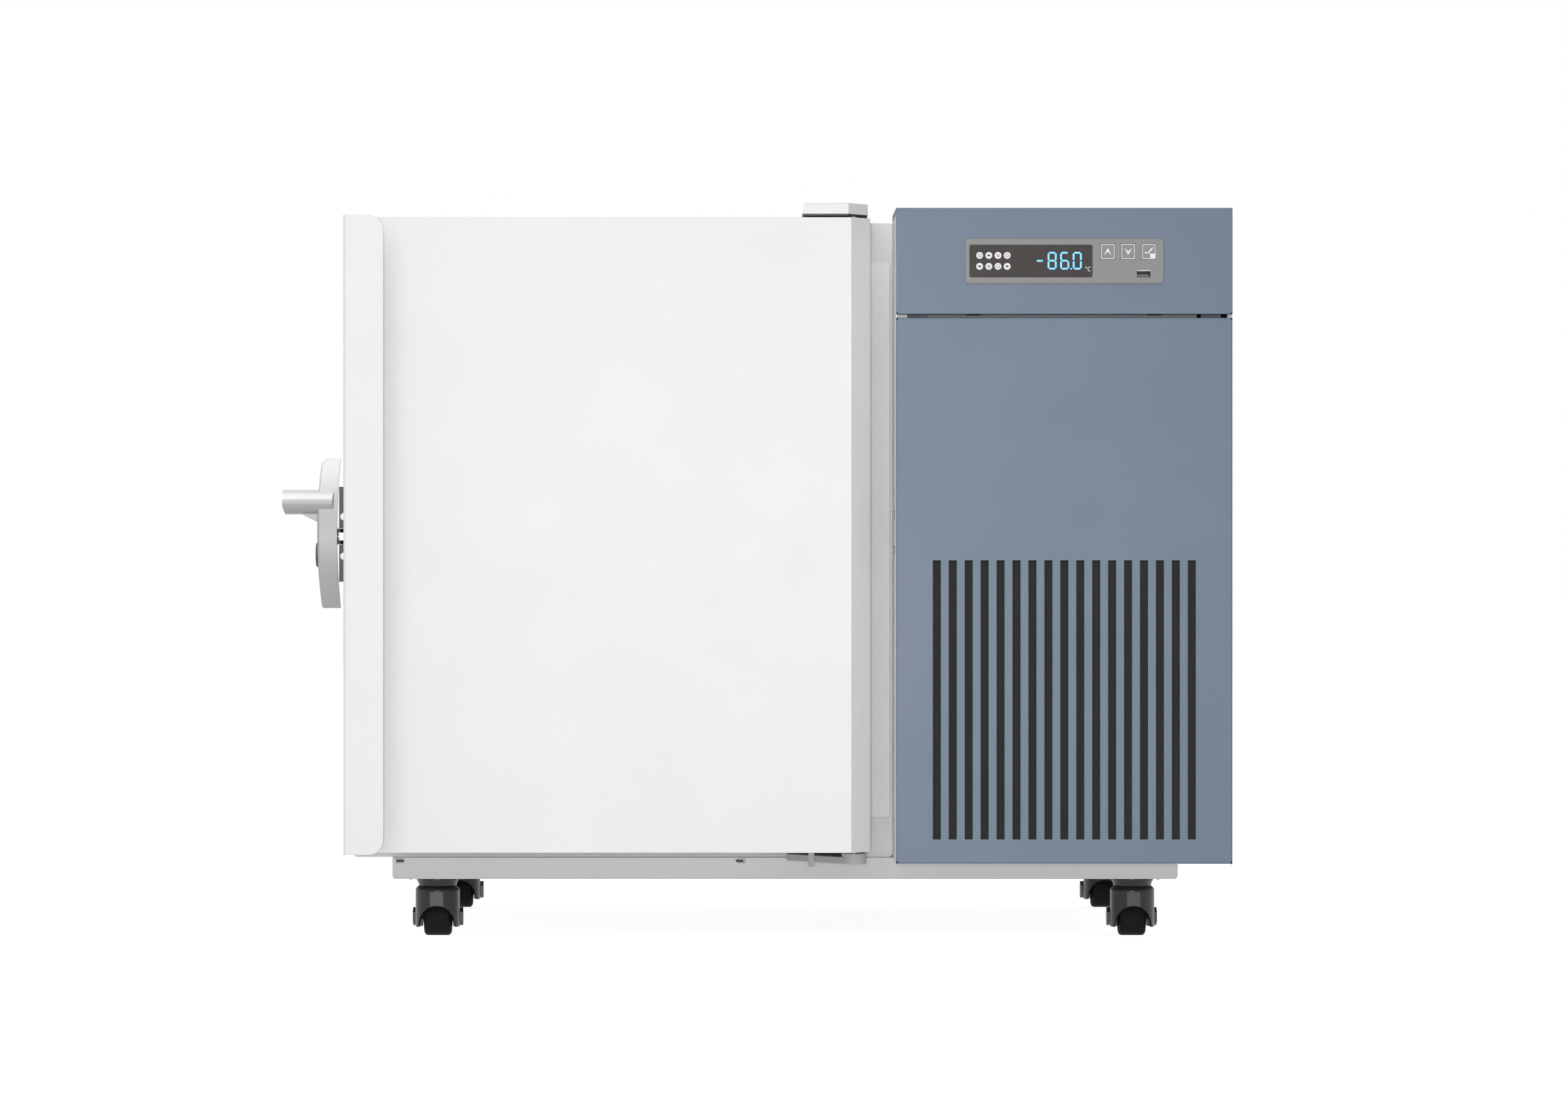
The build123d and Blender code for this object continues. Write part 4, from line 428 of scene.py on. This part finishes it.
nodeFinish = {
    "doorWhite": ["door_shell", "pull_flange"],
    "cabinetGrey": ["cabinet_shell"],
    "unitGrey": ["unit_left_panel", "unit_wrap", "unit_floor"],
    "tabGrey": ["door_fittings"],
    "frameGrey": ["base_frame"],
    "hingeGrey": ["hinge_brackets"],
    "unitBlue": ["control_hood", "grille_panel"],
    "mouldedWhite": ["hinge_cover", "door_inner_panel", "inner_door_upper", "inner_door_lower",
                     "port_sleeve"],
    "mouldedGrey": ["front_frame"],
    "mouldedBlack": ["hinge_cover_base", "controller_box", "mains_inlet", "power_switch"],
    "bezelGrey": ["display_bezel"],
    "windowTint": ["display_window"],
    "keyGrey": ["key_up", "key_down", "key_set"],
    "handleGrey": ["handle_lever"],
    "handleDark": ["handle_mount", "lock_cylinder"],
    "casterBlack": ["caster_mounts", "fork_front_left", "fork_front_right", "fork_rear_left",
                    "fork_rear_right"],
    "tyreBlack": ["wheel_front_left", "wheel_front_right", "wheel_rear_left", "wheel_rear_right"],
    "softBlack": ["rubber_pads", "port_plug"],
    "sealGrey": ["gasket"],
    "filterBlack": ["air_filter"],
    "rigidFoam": ["cabinet_foam", "door_foam"],
    "stainless": ["inner_liner", "shelf", "shelf_rails", "inner_hinges"],
    "zincPlate": ["unit_rear_panel", "fan_shroud"],
    "socketDark": ["usb_socket"],
    "brightChrome": ["hinge_pins", "latch_strike", "latch_claw"],
    "plainAluminium": ["condenser", "fan_blade"],
    "copperTube": ["evaporator", "refrigerant_lines"],
    "motorBlack": ["fan_motor", "compressor"],
}
for finishName, names in nodeFinish.items():
    for name in names:
        for slot in nodes[name].material_slots:
            slot.material = surfaces[finishName]
undressed = set(nodes) - {name for names in nodeFinish.values() for name in names}
print("CAD nodes dressed; left over:", sorted(undressed))


# ---- new pieces: flat outlines carried to a thickness, and turned shapes, all from arrays
def photoPoints(points, depth):
    # pixels of the photograph to X and Z on a plane at that depth behind the blue front:
    # X = (px - vanishX) * (distance + depth) / focal + sideways, Z = eye - (py - vanishY) * the same scale
    v = cameraValues
    points = np.asarray(points, float)
    scale = (v["distance"] + depth) / v["focalPixels"]
    x = (points[..., 0] - v["vanishX"]) * scale + v["sideways"]
    z = v["eyeHeight"] - (points[..., 1] - v["vanishY"]) * scale
    return np.stack([x, z], axis=-1)


def finishPiece(name, vertices, faces, finish, body, slot, smooth=False):
    mesh = bpy.data.meshes.new(name)
    points = np.asarray(vertices).reshape(-1, 3).tolist()
    mesh.from_pydata(points, [], [list(map(int, face)) for face in faces])
    mesh.materials.append(surfaces[finish])
    mesh.polygons.foreach_set("use_smooth", np.full(len(mesh.polygons), smooth))
    mesh.validate()
    piece = bpy.data.objects.new(name, mesh)
    bpy.context.scene.collection.objects.link(piece)
    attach(piece, body)
    return piece


def platesFromOutlines(outlines, front, thick):
    # outlines (count, corners, 2) in X and Z, anticlockwise from the front; each becomes a plate
    # whose face is at Y = front and whose back is at Y = front + thick
    outlines = np.asarray(outlines, float)
    count, corners = outlines.shape[:2]
    rings = np.empty((count, 2, corners, 3))
    rings[..., 0] = outlines[:, None, :, 0]
    rings[..., 2] = outlines[:, None, :, 1]
    rings[:, 0, :, 1] = front
    rings[:, 1, :, 1] = front + thick
    base = np.arange(count)[:, None] * 2 * corners
    ring = np.arange(corners)[None, :]
    after = (ring + 1) % corners
    sides = np.stack([base + ring, base + corners + ring, base + corners + after, base + after], axis=-1)
    sides = sides.reshape(-1, 4)
    fronts = base + ring
    backs = (base + corners + ring)[:, ::-1]
    return rings, list(sides) + list(fronts) + list(backs)


def anticlockwise(outlines):
    # half the sum of x0 * z1 - x1 * z0 round an outline is its area, negative when it runs clockwise
    result = []
    for line in outlines:
        ahead = np.roll(line, -1, axis=0)
        area = 0.5 * np.sum(line[:, 0] * ahead[:, 1] - ahead[:, 0] * line[:, 1])
        result.append(line if area > 0 else line[::-1])
    return result


def ringPlates(outer, inner, front, thick):
    # a flat frame between two outlines with the same number of corners, as four rings of quads
    corners = len(outer)
    rings = np.empty((4, corners, 3))
    corner = ((outer, front), (outer, front + thick), (inner, front + thick), (inner, front))
    for row, (line, depth) in enumerate(corner):
        rings[row, :, 0] = line[:, 0]
        rings[row, :, 1] = depth
        rings[row, :, 2] = line[:, 1]
    row = np.arange(4)[:, None] * corners
    nextRow = (np.arange(4)[:, None] + 1) % 4 * corners
    ring = np.arange(corners)[None, :]
    after = (ring + 1) % corners
    faces = np.stack([row + ring, nextRow + ring, nextRow + after, row + after], axis=-1).reshape(-1, 4)
    return rings, list(faces)


def joinMeshes(parts):
    vertices, faces, offset = [], [], 0
    for points, polygons in parts:
        points = np.asarray(points).reshape(-1, 3)
        vertices.append(points)
        faces += [np.asarray(polygon) + offset for polygon in polygons]
        offset += len(points)
    return np.concatenate(vertices), faces


def roundedOutline(x0, x1, z0, z1, radius, steps=6):
    # corner centres plus radius * (cos, sin) over each quarter turn, anticlockwise
    turn = np.linspace(0, math.pi / 2, steps)
    starts = np.array([[x1 - radius, z0 + radius, -math.pi / 2], [x1 - radius, z1 - radius, 0.0],
                       [x0 + radius, z1 - radius, math.pi / 2], [x0 + radius, z0 + radius, math.pi]])
    angle = starts[:, 2][:, None] + turn[None, :]
    x = starts[:, 0][:, None] + radius * np.cos(angle)
    z = starts[:, 1][:, None] + radius * np.sin(angle)
    return np.stack([x, z], axis=-1).reshape(-1, 2)


def circleOutline(x, z, radius, steps=28):
    turn = np.linspace(0, 2 * math.pi, steps, endpoint=False)
    return np.stack([x + radius * np.cos(turn), z + radius * np.sin(turn)], axis=-1)


def barOutline(start, end, width):
    # a straight bar with pointed ends, as a segment of a readout has
    start, end = np.asarray(start, float), np.asarray(end, float)
    along = (end - start) / np.linalg.norm(end - start)
    across = np.array([along[1], -along[0]]) * width / 2
    tip = along * width / 2
    right, left = tip + across, tip - across
    return np.array([start, start + right, end - left, end, end - right, start + left])


# ---- the readout and its discs on the dark window, placed in pixels of a zoomed crop of the photograph
displayValues = {
    "zoomLeft": 1405.0, "zoomTop": 340.0, "zoomScale": 310.0 / 1568.0,
    "digitWidth": 54.0, "digitHeight": 118.0, "barWidth": 13.5, "barGap": 2.0,
    "footRow": 270.0,
    "litDigits": [(659, "abcdefg"), (752, "acdefg"), (845, "abcdef")],
    "unlitDigits": [(567, "abcdef"), (752, "b")],
    "minus": ((570, 212), (620, 212)), "point": ((818, 270), (835, 270)),
    "discFirst": (149, 172), "discPitch": (68, 81), "discRadius": 25.5,
    "degreeMiddle": (938, 262), "degreeOuter": 6.5, "degreeInner": 3.6,
    "letterMiddle": (962, 273),
    "letterOuter": (16 * 0.82, 16 * 1.06), "letterInner": (11.4 * 0.78, 11.4 * 1.12),
    "proud": 0.00005, "sunk": 0.0002,
}
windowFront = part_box("display_window")[0][1]
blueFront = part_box("control_hood")[0][1]


def fromZoom(points, depth):
    v = displayValues
    points = np.asarray(points, float) * v["zoomScale"] + [v["zoomLeft"], v["zoomTop"]]
    return photoPoints(points, depth)


def zoomMetres(depth):
    # length of one pixel of the zoomed crop on a plane at that depth
    return displayValues["zoomScale"] * (cameraValues["distance"] + depth) / cameraValues["focalPixels"]


def digitBars(left, which):
    # the seven bars of a digit as start and end points: a top, b c right, d foot, e f left, g middle
    v = displayValues
    w, foot, gap = v["digitWidth"], v["footRow"], v["barGap"]
    top, middle = foot - v["digitHeight"], foot - v["digitHeight"] / 2
    ends = {
        "a": ((0, top), (w, top)), "b": ((w, top), (w, middle)), "c": ((w, middle), (w, foot)),
        "d": ((0, foot), (w, foot)), "e": ((0, middle), (0, foot)), "f": ((0, top), (0, middle)),
        "g": ((0, middle), (w, middle)),
    }
    bars = []
    for letter in which:
        start, end = (np.array(p, float) + [left, 0] for p in ends[letter])
        along = (end - start) / np.linalg.norm(end - start)
        bars.append((start + along * gap, end - along * gap))
    return bars


def barPlates(bars, proud):
    v = displayValues
    depth = windowFront - blueFront
    width = v["barWidth"] * zoomMetres(depth)
    outlines = anticlockwise([barOutline(*fromZoom([start, end], depth), width) for start, end in bars])
    return platesFromOutlines(outlines, windowFront - proud, proud + v["sunk"])


def discMark(n, x, z, r, front, thick):
    # plain marks in turn: a ring, a small plate, three bars
    if n % 3 == 0:
        return ringPlates(circleOutline(x, z, r * 0.5), circleOutline(x, z, r * 0.39), front, thick)
    if n % 3 == 1:
        plate = roundedOutline(x - r * .38, x + r * .38, z - r * .24, z + r * .24, r * .1)
        return platesFromOutlines([plate], front, thick)
    heights = [z + k * r * .3 for k in (-1, 0, 1)]
    bars = [barOutline((x - r * .45, height), (x + r * .45, height), r * .13) for height in heights]
    return platesFromOutlines(anticlockwise(bars), front, thick)


def buildDisplay():
    v = displayValues
    depth = windowFront - blueFront
    scale = zoomMetres(depth)
    front, thick = windowFront - v["proud"], v["proud"] + v["sunk"]
    bars = [bar for left, which in v["litDigits"] for bar in digitBars(left, which)]
    bars += [v["minus"], v["point"]]
    finishPiece("readoutLit", *barPlates(bars, v["proud"]), "readoutBlue", "freezer", "window_dark")
    bars = [bar for left, which in v["unlitDigits"] for bar in digitBars(left, which)]
    finishPiece("readoutUnlit", *barPlates(bars, v["proud"] * 0.6), "readoutDim", "freezer", "window_dark")
    (left, top), (across, down) = v["discFirst"], v["discPitch"]
    centres = fromZoom([[left + across * n, top + down * row] for row in range(2) for n in range(4)], depth)
    radius = v["discRadius"] * scale
    discs = platesFromOutlines([circleOutline(x, z, radius) for x, z in centres], front, thick)
    finishPiece("readoutDiscs", *discs, "printWhite", "freezer", "window_dark")
    marks = [discMark(n, x, z, radius, front - v["proud"], v["proud"]) for n, (x, z) in enumerate(centres)]
    finishPiece("readoutMarks", *joinMeshes(marks), "windowTint", "freezer", "window_dark")
    # the degree ring and C at the window's corner
    x, z = fromZoom([v["degreeMiddle"]], depth)[0]
    ring = ringPlates(circleOutline(x, z, v["degreeOuter"] * scale, 20),
                      circleOutline(x, z, v["degreeInner"] * scale, 20), front, thick)
    middle = fromZoom([v["letterMiddle"]], depth)[0]
    turn = np.radians(np.linspace(48, 312, 22))
    arc = np.stack([np.cos(turn), np.sin(turn)], axis=-1) * scale
    outer, inner = middle + arc * v["letterOuter"], middle + arc * v["letterInner"]
    quads = np.stack([outer[:-1], outer[1:], inner[1:], inner[:-1]], axis=1)
    letter = platesFromOutlines(quads, front, thick)
    finishPiece("readoutDegree", *joinMeshes([ring, letter]), "printWhite", "freezer", "window_dark")


# ---- keys: a light frame line and a plain sign on each, riding with its key; signs in zoom pixels
keyValues = {
    "marks": {"key_up": "keyMarkUp", "key_down": "keyMarkDown", "key_set": "keyMarkSet"},
    "arrow": [(0, 26), (-29, -27), (0, -2), (29, -27)],
    "check": [((-29, 0), (-7, -21)), ((-13, -21), (31, 31))], "checkWidth": 11.0,
    "inset": 0.0001, "line": 0.0009, "outerRadius": 0.0012, "innerRadius": 0.0008,
    "cornerSize": 0.0061, "cornerInset": 0.0002, "cornerRadius": 0.0006, "cornerProud": 0.00008,
    "proud": 0.00005, "thick": 0.0003,
}


def buildKeys():
    v = keyValues
    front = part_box("key_up")[0][1]
    scale = zoomMetres(front - blueFront)
    arrow = np.array(v["arrow"], float)
    check = [barOutline(start, end, v["checkWidth"]) for start, end in v["check"]]
    for name, piece in v["marks"].items():
        low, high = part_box(name)
        x0, z0, x1, z1 = low[0], low[2], high[0], high[2]
        middle = np.array([(x0 + x1) / 2, (z0 + z1) / 2])
        a, b = v["inset"], v["inset"] + v["line"]
        frameLine = ringPlates(roundedOutline(x0 + a, x1 - a, z0 + a, z1 - a, v["outerRadius"]),
                               roundedOutline(x0 + b, x1 - b, z0 + b, z1 - b, v["innerRadius"]),
                               front - v["proud"], v["thick"])
        if name == "key_set":
            outlines = [bar * scale + middle for bar in check]
        else:
            shape = arrow * scale * ([1, 1] if name == "key_up" else [1, -1]) + middle
            outlines = [shape[[0, 1, 2]], shape[[0, 2, 3]]]
        sign = [platesFromOutlines(anticlockwise(outlines), front - v["proud"], v["thick"])]
        if name == "key_set":
            right, foot = x1 - v["cornerInset"], z0 + v["cornerInset"]
            size = v["cornerSize"]
            corner = roundedOutline(right - size, right, foot, foot + size, v["cornerRadius"])
            sign.append(platesFromOutlines([corner], front - v["cornerProud"], v["thick"]))
        finishPiece(piece, *joinMeshes(sign), "printWhite", name, "white_plastic")
        finishPiece(piece + "Line", *frameLine, "printSilver", name, "white_plastic")


# ---- the joint between the two blue panels, in pixels of the photograph: light strips at its ends, dark strips, and painted shade of the gap as a grey-green fill strip, black strips and slivers
jointValues = {
    "rows": (460.6, 465.2),
    "behind": 0.003, "thick": 0.0012,
    "jointLight": [(1313.4, 1328.3), (1797.0, 1803.4)],
    "jointDark": [(1328.3, 1358.4), (1758.2, 1787.7)],
    "jointShadeFill": [(1358.4, 1752.3)],
    "jointBlack": [(1752.3, 1758.2), (1787.7, 1797.0)],
    "slivers": [(1414.5, 1436.0), (1679.5, 1701.0)], "sliverRows": (460.4, 461.7), "sliverAhead": 0.0006,
    "floorGap": 0.00005,
}


def pixelPlates(spans, rows, depth, thick):
    # rectangles of the photograph's pixels as plates that face the front
    outlines = []
    for left, right in spans:
        x0, z1 = photoPoints([left, rows[0]], depth)
        x1, z0 = photoPoints([right, rows[1]], depth)
        outlines.append([(x0, z0), (x1, z0), (x1, z1), (x0, z1)])
    return platesFromOutlines(outlines, blueFront + depth, thick)


def buildJoint():
    v = jointValues
    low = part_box("grille_panel")[1][2] + v["floorGap"]
    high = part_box("control_hood")[0][2]
    # painted shade: the grey-green fill strip, the black strips and the slivers stand for the shade inside
    # the gap
    for finish in ("jointLight", "jointDark", "jointShadeFill", "jointBlack"):
        points, faces = pixelPlates(v[finish], v["rows"], v["behind"], v["thick"])
        # the strips stand on the grille panel's top edge, whatever their lower row
        points[..., 2] = np.where(points[..., 2] > (low + high) / 2, points[..., 2].max(), low)
        slot = "galvanised" if finish == "jointLight" else "black_plastic"
        finishPiece(finish + "Strip", points, faces, finish, "freezer", slot)
    points, faces = pixelPlates(v["slivers"], v["sliverRows"], v["behind"] - v["sliverAhead"], v["thick"] / 2)
    finishPiece("jointShadeSlivers", points, faces, "jointBlack", "freezer", "black_plastic")


# ---- small trim: painted shade in the relief holes at the blue panels' corners, a painted highlight on the data socket's lip, the socket's floor, painted shade in the base's slots,
# the base's studs, and the handle mount's screw heads; columns and rows are pixels of the photograph
trimValues = {
    "proud": 0.00005, "holeProud": 0.00004, "thick": 0.0003,
    "holeColumns": [(1312.6, 1314.9), (1802.4, 1804.6)],
    "holeRows": [(457.4, 459.6), (465.7, 467.9), (1261.4, 1263.6)],
    "lipColumns": [(1665.1, 1684.7)], "lipRows": (395.7, 396.9),
    "socketWall": 0.0008, "floorBack": 0.0004, "floorRadius": 0.0001,
    "slotColumns": [(580.6, 591.2), (1077.4, 1088.0)], "slotRows": (1258.8, 1261.9),
    "screwPlaces": [(-0.46535, 0.4819), (-0.46535, 0.4371)], "screwSeat": -0.30075,
    "screwProfile": [(4.35, -0.5), (4.35, 2.2), (4.22, 2.55), (3.9, 2.75), (3.0, 2.88), (0.4, 2.95)],
    "studColumns": (601.4, 1696.0), "studRow": 1287.0,
    "studRadius": 0.0022, "studDrop": 0.0011, "studIn": 0.004,
}


def domeRing(profile, steps=24):
    # a profile of radius and height turned once round its axis, with a flat face at each end
    profile = np.asarray(profile, float)
    turn = np.linspace(0, 2 * math.pi, steps, endpoint=False)
    rings = np.empty((len(profile), steps, 3))
    rings[..., 0] = profile[:, None, 0] * np.cos(turn)
    rings[..., 1] = profile[:, None, 0] * np.sin(turn)
    rings[..., 2] = profile[:, None, 1]
    row = np.arange(len(profile) - 1)[:, None] * steps
    ring = np.arange(steps)[None, :]
    after = (ring + 1) % steps
    sides = np.stack([row + ring, row + after, row + steps + after, row + steps + ring], axis=-1)
    first = np.arange(steps)
    return rings, list(sides.reshape(-1, 4)) + [first[::-1], first + (len(profile) - 1) * steps]


def domeProfile(radius, height):
    # an upright side, then a quarter of an ellipse: radius * cos(t), height * sin(t)
    t = np.linspace(0, math.radians(84), 7)
    return [(radius, -0.3 * height)] + [(radius * math.cos(a), height * math.sin(a)) for a in t]


def buildTrim():
    v = trimValues
    # painted shade: black plates on the relief holes at the blue panels' corners
    holes = [pixelPlates(v["holeColumns"], rows, -v["holeProud"], v["thick"]) for rows in v["holeRows"]]
    finishPiece("panelCornerHoleShade", *joinMeshes(holes), "jointBlack", "freezer", "black_plastic")
    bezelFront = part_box("display_bezel")[0][1]
    depth = bezelFront - blueFront - v["proud"]
    # painted highlight: a light strip along the top edge of the data socket's opening on the bezel
    points, faces = pixelPlates(v["lipColumns"], v["lipRows"], depth, v["thick"])
    finishPiece("socketLipHighlight", points, faces, "printSilver", "freezer", "bezel_grey")
    low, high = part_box("usb_socket")
    wall = v["socketWall"]
    middle = (low[2] + high[2]) / 2
    line = roundedOutline(low[0] + wall, high[0] - wall, low[2] + wall, middle, v["floorRadius"], 3)
    points, faces = platesFromOutlines([line], high[1] - wall - v["floorBack"], v["thick"])
    finishPiece("socketFloor", points, faces, "socketFloor", "freezer", "black_plastic")
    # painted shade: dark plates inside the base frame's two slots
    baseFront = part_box("base_frame")[0][1]
    depth = baseFront - blueFront - v["proud"]
    points, faces = pixelPlates(v["slotColumns"], v["slotRows"], depth, v["thick"])
    finishPiece("baseSlotsPaintedShade", points, faces, "slotShade", "freezer", "black_plastic")
    # bright caps over the handle mount's screw heads: the profile is in mm and its axis Z goes to -Y
    heads = []
    for x, z in v["screwPlaces"]:
        points, faces = domeRing(np.array(v["screwProfile"]) / 1000)
        points = np.stack([points[..., 0] + x, v["screwSeat"] - points[..., 2], points[..., 1] + z], axis=-1)
        heads.append((points, faces))
    finishPiece("mountScrewHeads", *joinMeshes(heads), "screwBright", "door", "steel_fittings", True)
    # round stud ends under the base frame: Z turned downwards, and Y with it
    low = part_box("base_frame")[0][2]
    studs = []
    for column in v["studColumns"]:
        x = photoPoints([column, v["studRow"]], baseFront - blueFront)[0]
        points, faces = domeRing(domeProfile(v["studRadius"], v["studDrop"]))
        y = baseFront + v["studIn"]
        points = np.stack([points[..., 0] + x, y - points[..., 1], low - points[..., 2]], axis=-1)
        studs.append((points, faces))
    finishPiece("baseStuds", *joinMeshes(studs), "frameGrey", "freezer", "unit_paint", True)


buildDisplay()
buildKeys()
buildJoint()
buildTrim()
print("display, keys, joint and trim ready")
